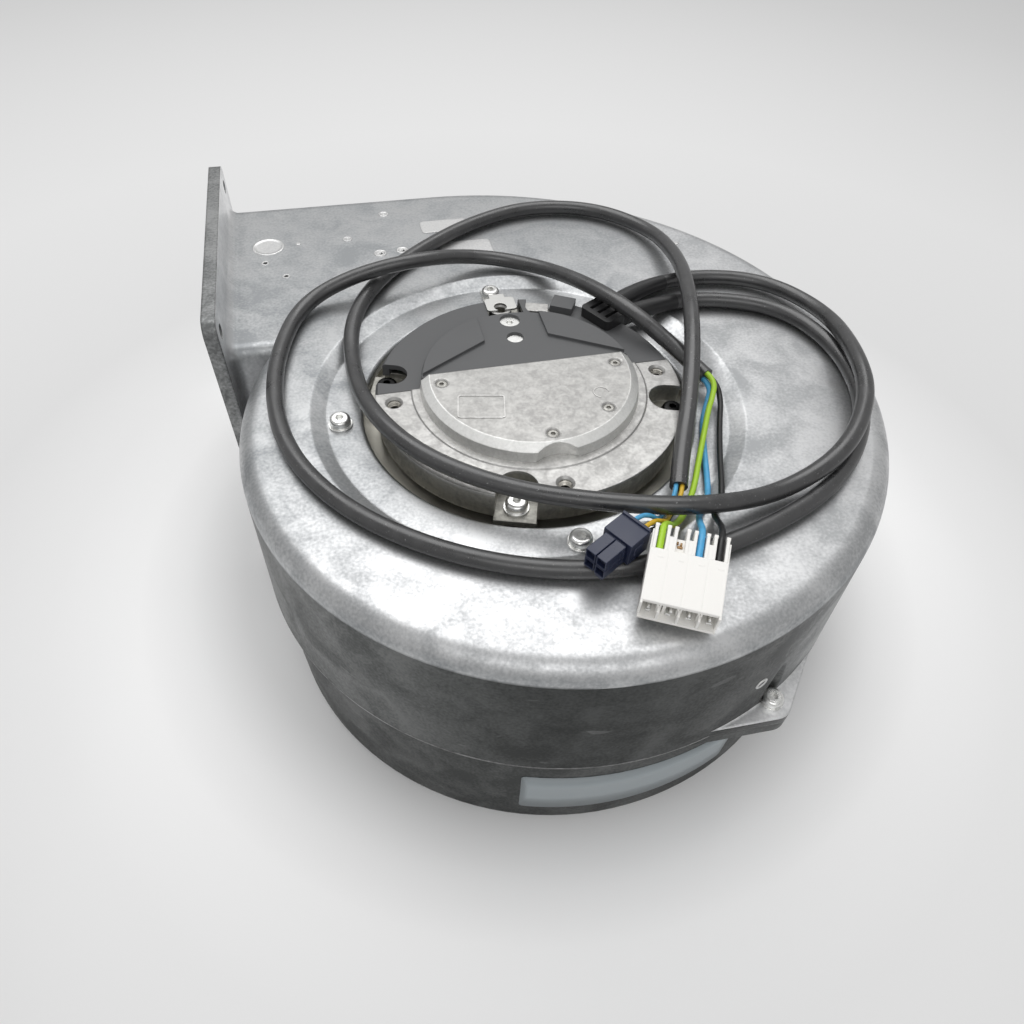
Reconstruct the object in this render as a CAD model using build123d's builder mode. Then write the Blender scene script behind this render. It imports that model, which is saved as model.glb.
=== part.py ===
from build123d import *
import math
import os

os.makedirs("parts", exist_ok=True)

# Single-inlet centrifugal fan in a two-part die-cast scroll. Millimetres, motor axis on Z,
# inlet face at zero height, outlet flange towards -X, terminal side of the motor towards +Y.

# Heights of the main faces
split_height = 60.0
annulus_height = 120.0
plate_height = 123.0
ring_height = 127.5
disc_height = 134.2

# Scroll wall: tangent arcs that shrink clockwise from the outlet to the tongue
scroll_radii = (159.0, 153.0, 141.0, 132.0, 122.0, 120.0, 122.0)
scroll_turns = (45.0, 45.0, 45.0, 45.0, 45.0, 45.0, 38.0)
scroll_top_x = -12.0
scroll_close = 20.0
shell_wall = 5.0
shell_round = 8.0
base_round = 6.0
upper_flare = 1.3
lower_step = 0.7
lower_draft = 2.0

# Outlet duct and its square flange
duct_front = 48.5
duct_back = 168.0
duct_inner_x = -18.0
duct_floor = 18.0
duct_ramp = 22.0
duct_round = 5.0
flange_face = -119.5
flange_thick = 5.5
flange_margin = 9.0
flange_rise = 19.0
flange_drop = 16.5
flange_round = 6.0
flange_fillet = 4.5
flange_hole_inset = 8.5
flange_hole_radius = 3.1

# Motor opening and the shallow recess around it
opening_radius = 64.5
recess_floor_radius = 78.0
recess_rim_radius = 84.0
top_wall = 4.0

# Lugs that join the two shells: screw x and y, outward turn, half width of the web
lugs = (
    (66.0, -116.4, -66.0, 34.0),
    (142.0, -38.0, -18.0, 34.0),
    (136.8, 79.0, 27.0, 34.0),
    (70.8, 151.8, 64.0, 34.0),
    (-25.0, 174.6, 90.0, 30.0),
    (-98.0, 174.6, 90.0, 14.0),
    (-108.8, 41.8, 159.0, 6.5),
)
lug_centres = [(place[0], place[1]) for place in lugs]
lug_radius = 7.5
lug_corner = 1.0
lug_height = 4.0
lug_under = 5.0
lug_reach = 9.0
tongue_reach = 12.0
flute_radius = 4.9
flute_height = 10.0
flute_run_out = 26.0
seal_outer = 2.1
seal_width = 1.5
seal_depth = 1.5

# Fastener sizes
m4_shank = 2.0
m4_clearance = 2.25
m4_head_radius = 4.0
m4_head_height = 3.1
washer_thick = 0.8
washer_radius = 4.6
lug_washer_radius = 4.3
drive_radius = 1.5
drive_depth = 1.6

# Inlet
inlet_hole_radius = 62.0
inlet_recess_radius = 78.0
inlet_recess_depth = 3.0
inlet_boss_radius = 90.0
inlet_boss_height = 8.0
nozzle_radius = 45.0
nozzle_height = 17.0
nozzle_wall = 3.0
inlet_screw_circle = 70.0
inlet_screw_count = 6
countersink_depth = 2.0
gas_hole_circle = 84.0
gas_hole_count = 4
gas_hole_radius = 2.5

# Motor support pan and the motor in it
support_circle = 73.0
pan_wall = 3.0
pan_rim_radius = 80.0
pan_shelf_radius = 66.0
pan_deep_radius = 50.0
pan_shelf_drop = 3.0
pan_floor_height = 67.0
foot_circle = 56.0
foot_turns = (72.0, 162.0, 252.0, 342.0)
foot_width = 15.0
foot_reach = 62.5
grommet_height = 4.0
grommet_radius = 5.0
ring_radius = 59.0
carrier_floor = 2.5
carrier_wall = 3.0
notch_centre = 53.4
notch_radius = 7.3
disc_radius = 42.0
lip_radius = 45.5
lip_rise = 0.5
split_line = 5.6
tapped_circle = 52.3
tapped_radius = 2.4

# Rotor
shaft_radius = 4.0
bearing_radius = 11.0
bearing_width = 7.0
can_radius = 47.0
can_wall = 2.5
can_floor = 72.0
can_top = 112.0
bushing_radius = 15.0
air_gap = 1.0
magnet_thick = 4.0
tooth_count = 12
impeller_radius = 88.0
backplate_height = 56.0
blade_count = 11
blade_thick = 1.8
shaft_seal_gap = 0.05

# Cables, their single wires and the two plugs
cable_radius = 3.2
wire_radius = 1.1
signal_wire_radius = 0.8
gland_turn = 30.0
mains_pitch = 6.0
mains_poles = 4
mains_length = 29.0
mains_height = 8.6
mains_slot = 9.0
signal_pitch = 4.2
signal_length = 19.4
signal_height = 9.0
signal_width = 9.4


def turned(radius, degrees):
    """Point in the plane at a radius and a direction."""
    way = math.radians(degrees)
    return (radius * math.cos(way), radius * math.sin(way))


def scroll_face(inset):
    """Scroll in plan, drawn in by a distance from the outer wall at plate level."""
    with BuildSketch() as face:
        with BuildLine():
            start = Vector(scroll_top_x, duct_back - inset)
            heading = Vector(1, 0)
            for radius, turn in zip(scroll_radii, scroll_turns):
                wall = JernArc(start, heading, radius - inset, -turn)
                start = wall @ 1
                heading = wall % 1
            corner = start + heading.rotate(Axis.Z, -90) * scroll_close
            close_x = -4 * duct_floor + duct_round * 2
            Polyline(
                start,
                corner,
                (close_x, (duct_front + duct_back) / 2),
                (close_x, duct_back - inset),
                (scroll_top_x, duct_back - inset),
            )
        make_face()
    return face.sketch


def duct_face(inset, end_x):
    """Outlet duct in plan between its two side walls."""
    with BuildSketch() as face:
        with Locations(((end_x + duct_inner_x) / 2, (duct_front + duct_back) / 2)):
            Rectangle(duct_inner_x - end_x, duct_back - duct_front - 2 * inset)
    return face.sketch


def slanted(low, low_face, high, high_face):
    """Solid with straight slanting walls between two plan faces."""
    with BuildPart() as body:
        with BuildSketch(Plane.XY.offset(low)):
            add(low_face)
        with BuildSketch(Plane.XY.offset(high)):
            add(high_face)
        loft(ruled=True)
    return body.part


def long_edges(body, group, least):
    """Edges of the top or bottom face along the scroll wall and the back wall."""
    found = body.edges().group_by(Axis.Z)[group]
    return [edge for edge in found if edge.length > least or edge.center().Y > duct_back - 12]


def screw(length, shank, head_radius, head_height, drive, deep):
    """Pan-head screw, seated at its origin with the shank pointing down."""
    with BuildPart() as body:
        with BuildSketch(Plane.XZ):
            with BuildLine():
                Polyline(
                    (0, -length),
                    (shank - 0.4, -length),
                    (shank, -length + 0.6),
                    (shank, 0),
                    (head_radius, 0),
                    (head_radius, head_height * 0.55),
                )
                ThreePointArc(
                    (head_radius, head_height * 0.55),
                    (head_radius * 0.86, head_height * 0.88),
                    (head_radius * 0.55, head_height),
                )
                Polyline(
                    (head_radius * 0.55, head_height),
                    (0, head_height),
                    (0, -length),
                )
            make_face()
        revolve(axis=Axis.Z)
        with BuildSketch(Plane.XY.offset(head_height)):
            RegularPolygon(drive, 6)
        extrude(amount=-deep, mode=Mode.SUBTRACT)
    return body.part


def washer(inner, outer, thick):
    """Flat washer lying on its origin plane."""
    with BuildPart() as body:
        with BuildSketch():
            Circle(outer)
            Circle(inner, mode=Mode.SUBTRACT)
        extrude(amount=thick)
    return body.part


def m4_screw(length):
    """Pan-head M4 screw of a given length."""
    return screw(length, m4_shank, m4_head_radius, m4_head_height, drive_radius, drive_depth)


flange_low = duct_floor - flange_drop
flange_high = plate_height + flange_rise
flange_front = duct_front - flange_margin
flange_back = duct_back + flange_margin
flange_inner = flange_face + flange_thick


def flange_block(low, high, group):
    """Half of the outlet flange between two heights, with its outer corners rounded."""
    with BuildPart() as body:
        with Locations(
            (
                flange_face + flange_thick / 2,
                (flange_front + flange_back) / 2,
                (low + high) / 2,
            )
        ):
            Box(flange_thick, flange_back - flange_front, high - low)
        corner = body.edges().filter_by(Axis.X).group_by(Axis.Z)[group]
        fillet(corner, flange_round)
    return body.part


# Shells: outer bodies first, then the common inner space is taken out of both
upper_scroll = slanted(
    split_height, scroll_face(-upper_flare), plate_height, scroll_face(0)
)
with BuildPart() as upper_duct:
    add(
        slanted(
            split_height,
            duct_face(-upper_flare, flange_inner - 1),
            plate_height,
            duct_face(0, flange_inner - 1),
        )
    )
    duct_edges = upper_duct.edges().group_by(Axis.Z)[-1].filter_by(Axis.X)
    fillet(duct_edges.sort_by(Axis.Y)[0], duct_round)
    duct_edges = upper_duct.edges().group_by(Axis.Z)[-1].filter_by(Axis.X)
    fillet(duct_edges.sort_by(Axis.Y)[-1], shell_round)
    add(flange_block(split_height, flange_high, -1))
    foot = [
        edge
        for edge in upper_duct.edges()
        if abs(edge.center().X - flange_inner) < 0.01
        and edge.bounding_box().max.Y < flange_back - 1
        and edge.bounding_box().min.Y > flange_front + 1
        and edge.bounding_box().max.Z < flange_high - 1
        and edge.center().Z > split_height + 0.1
    ]
    fillet(foot, flange_fillet)

lower_scroll = slanted(
    0, scroll_face(lower_step + lower_draft), split_height, scroll_face(lower_step)
)
with BuildPart() as lower_duct:
    add(
        slanted(
            0,
            duct_face(lower_step + lower_draft, flange_inner - 1),
            split_height,
            duct_face(lower_step, flange_inner - 1),
        )
    )
    duct_edges = lower_duct.edges().group_by(Axis.Z)[0].filter_by(Axis.X)
    fillet(duct_edges, duct_round)
    with BuildSketch(Plane.XZ):
        with BuildLine():
            Polyline(
                (flange_face - 5, -5),
                (flange_face - 5, duct_floor),
                (flange_face + duct_floor, duct_floor),
                (flange_face + duct_floor + duct_ramp, 0),
                (flange_face + duct_floor + duct_ramp, -5),
                close=True,
            )
        make_face()
    extrude(amount=2 * duct_back, both=True, mode=Mode.SUBTRACT)
    add(flange_block(flange_low, split_height, 0))

with BuildPart() as upper_space:
    with BuildSketch(Plane.XY.offset(split_height - 1)):
        add(scroll_face(shell_wall))
    extrude(amount=plate_height - shell_wall - split_height + 1)
    fillet(long_edges(upper_space, -1, 60), shell_round - shell_wall)
with BuildPart() as upper_passage:
    with BuildSketch(Plane.XY.offset(split_height - 1)):
        add(duct_face(shell_wall, flange_face - 10))
    extrude(amount=plate_height - shell_wall - split_height + 1)
    fillet(upper_passage.edges().group_by(Axis.Z)[-1].filter_by(Axis.X), duct_round)
    add(upper_space.part)
    with BuildSketch(Plane.XY.offset(annulus_height - top_wall)):
        Circle(recess_rim_radius + top_wall)
    extrude(amount=plate_height, mode=Mode.SUBTRACT)

with BuildPart() as lower_space:
    with BuildSketch(Plane.XY.offset(top_wall)):
        add(scroll_face(shell_wall))
    extrude(amount=split_height - top_wall + 1)
    fillet(long_edges(lower_space, 0, 60), base_round - 1)
with BuildPart() as lower_passage:
    with BuildSketch(Plane.XY.offset(top_wall)):
        add(duct_face(shell_wall, flange_face - 10))
    extrude(amount=split_height - top_wall + 1)
    with BuildSketch(Plane.XZ):
        with BuildLine():
            Polyline(
                (flange_face - 15, -5),
                (flange_face - 15, duct_floor + top_wall),
                (flange_face + duct_floor + 1, duct_floor + top_wall),
                (flange_face + duct_floor + duct_ramp + 2, top_wall),
                (flange_face + duct_floor + duct_ramp + 2, -5),
                close=True,
            )
        make_face()
    extrude(amount=2 * duct_back, both=True, mode=Mode.SUBTRACT)
    add(lower_space.part)
    with BuildSketch(Plane.XY):
        Circle(inlet_boss_radius)
    extrude(amount=inlet_boss_height, mode=Mode.SUBTRACT)


def lug(place, low, high):
    """Screw lug with a web that runs out along the shell wall on both sides."""
    x, y, way, web = place
    reach = lug_reach if web > lug_radius else tongue_reach
    with BuildPart() as body:
        with BuildSketch(Plane.XY.offset(low)):
            with Locations(Pos(x, y) * Rot(0, 0, way)):
                Circle(lug_radius)
                with Locations((-reach, -web), (-reach, web)):
                    Circle(lug_corner)
            make_hull()
        extrude(amount=high - low)
    return body.part


# Flute that gives a lug screw room in the shell wall, running out upwards
head_flute = Solid.make_cylinder(flute_radius, flute_height)
head_flute += Pos(0, 0, flute_height) * Solid.make_cone(flute_radius, 0.5, flute_run_out)

flange_holes = [
    (side, height)
    for side in (flange_front + flange_hole_inset, flange_back - flange_hole_inset)
    for height in (flange_low + flange_hole_inset, flange_high - flange_hole_inset)
]


def flange_drill():
    """Rods that cut the four holes of the outlet flange."""
    with BuildPart() as rods:
        with BuildSketch(Plane.YZ.offset(flange_face - 5)):
            with Locations(*flange_holes):
                Circle(flange_hole_radius)
        extrude(amount=flange_thick + 10)
    return rods.part


def joint_ring():
    """Cord that lies in a groove round the joint of the shells, open at the outlet."""
    with BuildPart() as ring:
        for inset, end, mode in (
            (seal_outer, flange_face + 2, Mode.ADD),
            (seal_outer + seal_width, flange_face - 5, Mode.SUBTRACT),
        ):
            with BuildSketch(Plane.XY.offset(split_height)):
                add(scroll_face(inset))
                add(duct_face(inset, end))
            extrude(amount=-seal_depth, mode=mode)
    return ring.part


support_spots = [turned(support_circle, 90 * step) for step in range(4)]

with BuildPart() as motor_side_housing:
    add(upper_scroll)
    fillet(long_edges(motor_side_housing, -1, 60), shell_round)
    add(upper_duct.part)
    for place in lugs:
        add(lug(place, split_height, split_height + lug_height))
    for spot in lug_centres:
        with Locations((*spot, split_height + lug_height)):
            add(head_flute, mode=Mode.SUBTRACT)
    add(upper_passage.part, mode=Mode.SUBTRACT)
    with BuildSketch(Plane.XZ):
        with BuildLine():
            Polyline(
                (0, annulus_height),
                (recess_floor_radius, annulus_height),
                (recess_rim_radius, plate_height),
                (recess_rim_radius, plate_height + 5),
                (0, plate_height + 5),
                close=True,
            )
        make_face()
    revolve(axis=Axis.Z, mode=Mode.SUBTRACT)
    with BuildSketch(Plane.XY.offset(annulus_height)):
        Circle(opening_radius)
    extrude(amount=-2 * top_wall, mode=Mode.SUBTRACT)
    with BuildSketch(Plane.XY.offset(annulus_height)):
        with Locations(*support_spots):
            Circle(m4_clearance)
    extrude(amount=-2 * top_wall, mode=Mode.SUBTRACT)
    with BuildSketch(Plane.XY.offset(split_height)):
        with Locations(*lug_centres):
            Circle(m4_clearance)
    extrude(amount=lug_height, mode=Mode.SUBTRACT)
    add(flange_drill(), mode=Mode.SUBTRACT)
    mouth = [
        edge
        for edge in motor_side_housing.edges().filter_by(GeomType.CIRCLE)
        if abs(edge.radius - opening_radius) < 0.01
        and abs(edge.center().Z - annulus_height) < 0.01
    ]
    chamfer(mouth, 1.0)
motor_side_housing.part.label = "motor_side_housing"
export_step(motor_side_housing.part, "parts/motor_side_housing.step")

inlet_screw_spots = [
    turned(inlet_screw_circle, 360 / inlet_screw_count * (step + 0.5))
    for step in range(inlet_screw_count)
]
gas_hole_spots = [
    turned(gas_hole_circle, 360 / gas_hole_count * (step + 0.5))
    for step in range(gas_hole_count)
]

with BuildPart() as inlet_side_housing:
    add(lower_scroll)
    fillet(long_edges(inlet_side_housing, 0, 60), base_round)
    add(lower_duct.part)
    for place in lugs:
        add(lug(place, split_height - lug_under, split_height))
    add(lower_passage.part, mode=Mode.SUBTRACT)
    with BuildSketch(Plane.XY):
        Circle(inlet_hole_radius)
    extrude(amount=inlet_boss_height, mode=Mode.SUBTRACT)
    with BuildSketch(Plane.XY):
        Circle(inlet_recess_radius)
    extrude(amount=inlet_recess_depth, mode=Mode.SUBTRACT)
    with BuildSketch(Plane.XY):
        with Locations(*inlet_screw_spots):
            Circle(m4_shank)
    extrude(amount=inlet_boss_height, mode=Mode.SUBTRACT)
    with BuildSketch(Plane.XY):
        with Locations(*gas_hole_spots):
            Circle(gas_hole_radius)
    extrude(amount=inlet_boss_height - 1.5, mode=Mode.SUBTRACT)
    with BuildSketch(Plane.XY.offset(split_height)):
        with Locations(*lug_centres):
            Circle(m4_shank)
    extrude(amount=-lug_under, mode=Mode.SUBTRACT)
    add(flange_drill(), mode=Mode.SUBTRACT)
    add(joint_ring(), mode=Mode.SUBTRACT)
inlet_side_housing.part.label = "inlet_side_housing"
export_step(inlet_side_housing.part, "parts/inlet_side_housing.step")

with BuildPart() as housing_screws:
    joint_screw = m4_screw(washer_thick + lug_height + lug_under - 0.5)
    for spot in lug_centres:
        with Locations((*spot, split_height + lug_height + washer_thick)):
            add(joint_screw)
housing_screws.part.label = "housing_screws"
export_step(housing_screws.part, "parts/housing_screws.step")

with BuildPart() as housing_washers:
    joint_washer = washer(m4_clearance, lug_washer_radius, washer_thick)
    for spot in lug_centres:
        with Locations((*spot, split_height + lug_height)):
            add(joint_washer)
housing_washers.part.label = "housing_washers"
export_step(housing_washers.part, "parts/housing_washers.step")

with BuildPart() as housing_seal:
    add(joint_ring())
housing_seal.part.label = "housing_seal"
export_step(housing_seal.part, "parts/housing_seal.step")


def spun(*corners):
    """Ring turned about the motor axis from radius and height pairs."""
    with BuildPart() as body:
        with BuildSketch(Plane.XZ):
            with BuildLine():
                Polyline(*corners, close=True)
            make_face()
        revolve(axis=Axis.Z)
    return body.part


# Inlet nozzle, screwed flush into the lower shell
bell_radius = 13.0
bell_centre = (nozzle_radius + bell_radius, bell_radius)
bell_outer = bell_radius - nozzle_wall
quarter = math.sqrt(0.5)
with BuildPart() as inlet_ring:
    with BuildSketch(Plane.XZ):
        with BuildLine():
            Polyline(
                (bell_centre[0], 0),
                (inlet_recess_radius - 0.4, 0),
                (inlet_recess_radius - 0.4, inlet_recess_depth),
                (bell_centre[0], nozzle_wall),
            )
            ThreePointArc(
                (bell_centre[0], nozzle_wall),
                (bell_centre[0] - bell_outer * quarter, bell_centre[1] - bell_outer * quarter),
                (bell_centre[0] - bell_outer, bell_centre[1]),
            )
            Polyline(
                (bell_centre[0] - bell_outer, bell_centre[1]),
                (nozzle_radius + nozzle_wall, nozzle_height),
                (nozzle_radius, nozzle_height),
                (nozzle_radius, bell_centre[1]),
            )
            ThreePointArc(
                (nozzle_radius, bell_centre[1]),
                (bell_centre[0] - bell_radius * quarter, bell_centre[1] - bell_radius * quarter),
                (bell_centre[0], 0),
            )
        make_face()
    revolve(axis=Axis.Z)
    for spot in inlet_screw_spots:
        with Locations((*spot, countersink_depth / 2)):
            Cone(m4_head_radius, m4_shank, countersink_depth, mode=Mode.SUBTRACT)
        with Locations((*spot, inlet_recess_depth / 2)):
            Cylinder(m4_shank, inlet_recess_depth, mode=Mode.SUBTRACT)
inlet_ring.part.label = "inlet_ring"
export_step(inlet_ring.part, "parts/inlet_ring.step")

with BuildPart() as countersunk:
    with Locations((0, 0, countersink_depth / 2)):
        Cone(m4_head_radius, m4_shank, countersink_depth)
    with Locations((0, 0, (inlet_boss_height - 0.5) / 2)):
        Cylinder(m4_shank, inlet_boss_height - 0.5)
    with BuildSketch(Plane.XY):
        RegularPolygon(drive_radius, 6)
    extrude(amount=drive_depth, mode=Mode.SUBTRACT)
with BuildPart() as inlet_screws:
    for spot in inlet_screw_spots:
        with Locations((*spot, 0)):
            add(countersunk.part)
inlet_screws.part.label = "inlet_screws"
export_step(inlet_screws.part, "parts/inlet_screws.step")

# Pan that hangs under the annulus and carries the motor feet
annulus_under = annulus_height - top_wall
shelf_top = annulus_under - pan_shelf_drop
foot_spots = [turned(foot_circle, turn) for turn in foot_turns]
boss_height = 7.0
boss_radius = 4.6
seal_radius = 12.0
with BuildPart() as motor_support_plate:
    add(
        spun(
            (seal_radius, pan_floor_height),
            (pan_deep_radius + pan_wall, pan_floor_height),
            (pan_deep_radius + pan_wall, shelf_top - pan_wall),
            (pan_shelf_radius + pan_wall, shelf_top - pan_wall),
            (pan_shelf_radius + pan_wall, annulus_under - pan_wall),
            (pan_rim_radius, annulus_under - pan_wall),
            (pan_rim_radius, annulus_under),
            (pan_shelf_radius, annulus_under),
            (pan_shelf_radius, shelf_top),
            (pan_deep_radius, shelf_top),
            (pan_deep_radius, pan_floor_height + pan_wall),
            (seal_radius, pan_floor_height + pan_wall),
        )
    )
    with BuildSketch(Plane.XY.offset(annulus_under - pan_wall)):
        with Locations(*support_spots):
            Circle(boss_radius)
    extrude(amount=-boss_height)
    with BuildSketch(Plane.XY.offset(shelf_top - pan_wall)):
        with Locations(*foot_spots):
            Circle(boss_radius)
    extrude(amount=-boss_height)
    with BuildSketch(Plane.XY.offset(annulus_under)):
        with Locations(*support_spots):
            Circle(m4_shank)
    extrude(amount=-pan_wall - boss_height, mode=Mode.SUBTRACT)
    with BuildSketch(Plane.XY.offset(shelf_top)):
        with Locations(*foot_spots):
            Circle(m4_shank)
    extrude(amount=-pan_wall - boss_height, mode=Mode.SUBTRACT)
motor_support_plate.part.label = "motor_support_plate"
export_step(motor_support_plate.part, "parts/motor_support_plate.step")

with BuildPart() as support_screws:
    support_screw = m4_screw(washer_thick + top_wall + pan_wall + boss_height - 1)
    for spot in support_spots:
        with Locations((*spot, annulus_height + washer_thick)):
            add(support_screw)
support_screws.part.label = "support_screws"
export_step(support_screws.part, "parts/support_screws.step")

with BuildPart() as support_washers:
    plain_washer = washer(m4_clearance, washer_radius, washer_thick)
    for step in (0, 2, 3):
        with Locations((*support_spots[step], annulus_height)):
            add(plain_washer)
support_washers.part.label = "support_washers"
export_step(support_washers.part, "parts/support_washers.step")

with BuildPart() as damping_grommets:
    with BuildSketch(Plane.XY.offset(shelf_top)):
        with Locations(*foot_spots):
            Circle(grommet_radius)
            Circle(m4_clearance, mode=Mode.SUBTRACT)
    extrude(amount=grommet_height)
damping_grommets.part.label = "damping_grommets"
export_step(damping_grommets.part, "parts/damping_grommets.step")

# Motor carrier: floor with four feet, bearing tube, outer wall and the open aluminium ring
floor_low = shelf_top + grommet_height
floor_top = floor_low + carrier_floor
plastic_seat = ring_height - 5.5
ring_plate = 3.0
bearing_gap = 1.0
lower_bearing_low = 82.0
upper_bearing_low = 106.0
post_radius = 3.5
cover_screw_circle = 34.0
cover_screw_turns = (0.0, 180.0, 270.0, 314.0)
cover_screw_shank = 1.25
cover_screw_head = 2.3
tapped_spots = [turned(tapped_circle, 90 * step) for step in range(4)]
cover_screw_spots = [turned(cover_screw_circle, turn) for turn in cover_screw_turns]


def metal_half(low, high):
    """Block over the metal side of the motor, in front of the straight parting line."""
    with BuildPart() as body:
        with Locations((0, split_line - ring_radius, (low + high) / 2)):
            Box(4 * ring_radius, 2 * ring_radius, high - low)
    return body.part


def notch(radius, centre, low, high, turns):
    """Round-ended slots that open through the rim of the motor."""
    with BuildPart() as body:
        for turn in turns:
            with BuildSketch(Plane.XY.offset(low)):
                with Locations(turned(centre, turn)):
                    Circle(radius)
                with Locations(Rot(0, 0, turn) * Pos(centre + radius, 0)):
                    Rectangle(2 * radius, 2 * radius)
            extrude(amount=high - low)
    return body.part


with BuildPart() as ring_half:
    add(
        spun(
            (disc_radius - 4, ring_height - ring_plate),
            (ring_radius - carrier_wall, ring_height - ring_plate),
            (ring_radius - carrier_wall, plastic_seat - 1),
            (ring_radius, plastic_seat - 1),
            (ring_radius, ring_height),
            (lip_radius, ring_height),
            (lip_radius - 0.5, ring_height + lip_rise),
            (disc_radius - 4, ring_height + lip_rise),
        )
    )
    add(metal_half(floor_low - 10, disc_height + 10), mode=Mode.INTERSECT)
with BuildPart() as motor_flange:
    add(
        spun(
            (bearing_radius, lower_bearing_low - 2),
            (bushing_radius, lower_bearing_low - 2),
            (bushing_radius, floor_low),
            (ring_radius, floor_low),
            (ring_radius, plastic_seat),
            (ring_radius - carrier_wall, plastic_seat),
            (ring_radius - carrier_wall, floor_top),
            (bearing_radius, floor_top),
        )
    )
    add(ring_half.part)
    with BuildSketch(Plane.XY.offset(floor_low)):
        for turn in foot_turns:
            with Locations(Rot(0, 0, turn) * Pos((foot_circle + foot_reach) / 2, 0)):
                Rectangle(foot_reach - foot_circle, foot_width)
    extrude(amount=carrier_floor)
    with BuildSketch(Plane.XY.offset(floor_top)):
        with Locations(*[turned(notch_centre - 1, turn) for turn in foot_turns]):
            Circle(notch_radius + 1.5)
    extrude(amount=plastic_seat - floor_top)
    with BuildSketch(Plane.XY.offset(floor_top)):
        with Locations(*[turned(notch_centre - 1, turn) for turn in foot_turns[2:]]):
            Circle(notch_radius + 1.5)
    extrude(amount=ring_height - floor_top - 1)
    with BuildSketch(Plane.XY.offset(floor_top)):
        with Locations(*tapped_spots):
            Circle(tapped_radius + 2.4)
    extrude(amount=ring_height - floor_top)
    with BuildSketch(Plane.XY.offset(floor_top)):
        with Locations(*cover_screw_spots):
            Circle(post_radius)
    extrude(amount=ring_height + lip_rise - floor_top)
    add(
        notch(notch_radius, notch_centre, floor_top, disc_height, foot_turns),
        mode=Mode.SUBTRACT,
    )
    with BuildSketch(Plane.XY.offset(floor_top)):
        with Locations(*foot_spots):
            Circle(m4_clearance)
    extrude(amount=-carrier_floor, mode=Mode.SUBTRACT)
    for spot in tapped_spots:
        with Locations((*spot, ring_height - 3.5)):
            Cylinder(tapped_radius, 7, mode=Mode.SUBTRACT)
        with Locations((*spot, ring_height - 0.5)):
            Cone(tapped_radius, tapped_radius + 1, 1, mode=Mode.SUBTRACT)
    with BuildSketch(Plane.XY.offset(ring_height + lip_rise)):
        with Locations(*cover_screw_spots):
            Circle(cover_screw_shank)
    extrude(amount=-6, mode=Mode.SUBTRACT)
motor_flange.part.label = "motor_flange"
export_step(motor_flange.part, "parts/motor_flange.step")

with BuildPart() as foot_screws:
    foot_screw = m4_screw(
        washer_thick + carrier_floor + grommet_height + pan_wall + boss_height - 1
    )
    for spot in foot_spots:
        with Locations((*spot, floor_top + washer_thick)):
            add(foot_screw)
foot_screws.part.label = "foot_screws"
export_step(foot_screws.part, "parts/foot_screws.step")

with BuildPart() as foot_washers:
    for spot in foot_spots:
        with Locations((*spot, floor_top)):
            add(plain_washer)
foot_washers.part.label = "foot_washers"
export_step(foot_washers.part, "parts/foot_washers.step")

# Raised aluminium cover over the electronics
cover_seat = ring_height + lip_rise
cover_skin = 2.5
with BuildPart() as electronics_cover:
    add(
        spun(
            (0, cover_seat),
            (disc_radius, cover_seat),
            (disc_radius - 0.6, disc_height - 2.3),
            (disc_radius - 3.7, disc_height),
            (0, disc_height),
        )
    )
    with BuildSketch(Plane.XY.offset(cover_seat)):
        Circle(disc_radius - 5.5)
        with Locations((0, split_line - 1 + disc_radius)):
            Rectangle(4 * disc_radius, 2 * disc_radius + 4, mode=Mode.SUBTRACT)
    extrude(amount=disc_height - cover_skin - cover_seat, mode=Mode.SUBTRACT)
    with BuildSketch(Plane.XY.offset(cover_seat)):
        with Locations(*cover_screw_spots):
            Circle(post_radius)
    extrude(amount=disc_height - cover_skin - cover_seat)
    add(metal_half(0, 2 * disc_height), mode=Mode.INTERSECT)
    with BuildSketch(Plane.XY.offset(cover_seat)):
        with Locations((0, -tapped_circle)):
            Circle(13.5)
    extrude(amount=disc_height, mode=Mode.SUBTRACT)
    with BuildSketch(Plane.XY.offset(cover_seat)):
        with Locations(*cover_screw_spots):
            Circle(cover_screw_shank)
    extrude(amount=disc_height, mode=Mode.SUBTRACT)
    with BuildSketch(Plane.XY.offset(disc_height)):
        with Locations(*cover_screw_spots):
            Circle(cover_screw_head + 0.5)
    extrude(amount=-2, mode=Mode.SUBTRACT)
electronics_cover.part.label = "electronics_cover"
export_step(electronics_cover.part, "parts/electronics_cover.step")

with BuildPart() as cover_screws:
    small_screw = screw(
        disc_height - 2 - cover_seat + 5, cover_screw_shank, cover_screw_head, 1.5, 0.9, 0.8
    )
    for spot in cover_screw_spots:
        with Locations((*spot, disc_height - 2)):
            add(small_screw)
cover_screws.part.label = "cover_screws"
export_step(cover_screws.part, "parts/cover_screws.step")

# Plastic cover over the terminals, behind the parting line
plastic_gap = 0.2
plastic_top = disc_height - 1.4
plastic_skin = 2.2
panel_side = 13.0
panel_front = 22.8
panel_slope = 0.587
terminal_screw_spot = (0.2, 35.7)
terminal_screw_head = 4.2
terminal_hole_spot = (-0.2, 24.1)
terminal_hole_radius = 3.4
gland_centre = (41.3, 37.6)
gland_size = (12.0, 16.0)
gland_low = plastic_seat
gland_high = ring_height + 4.3
plastic_notch = 5.7


def gland_block(grow, low, high):
    """Block of the cable gland in the rim of the plastic cover."""
    with BuildPart() as body:
        with BuildSketch(Plane.XY.offset(low)):
            with Locations(Pos(*gland_centre) * Rot(0, 0, gland_turn)):
                RectangleRounded(gland_size[0] + grow, gland_size[1] + grow, 2)
        extrude(amount=high - low)
    return body.part


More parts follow.
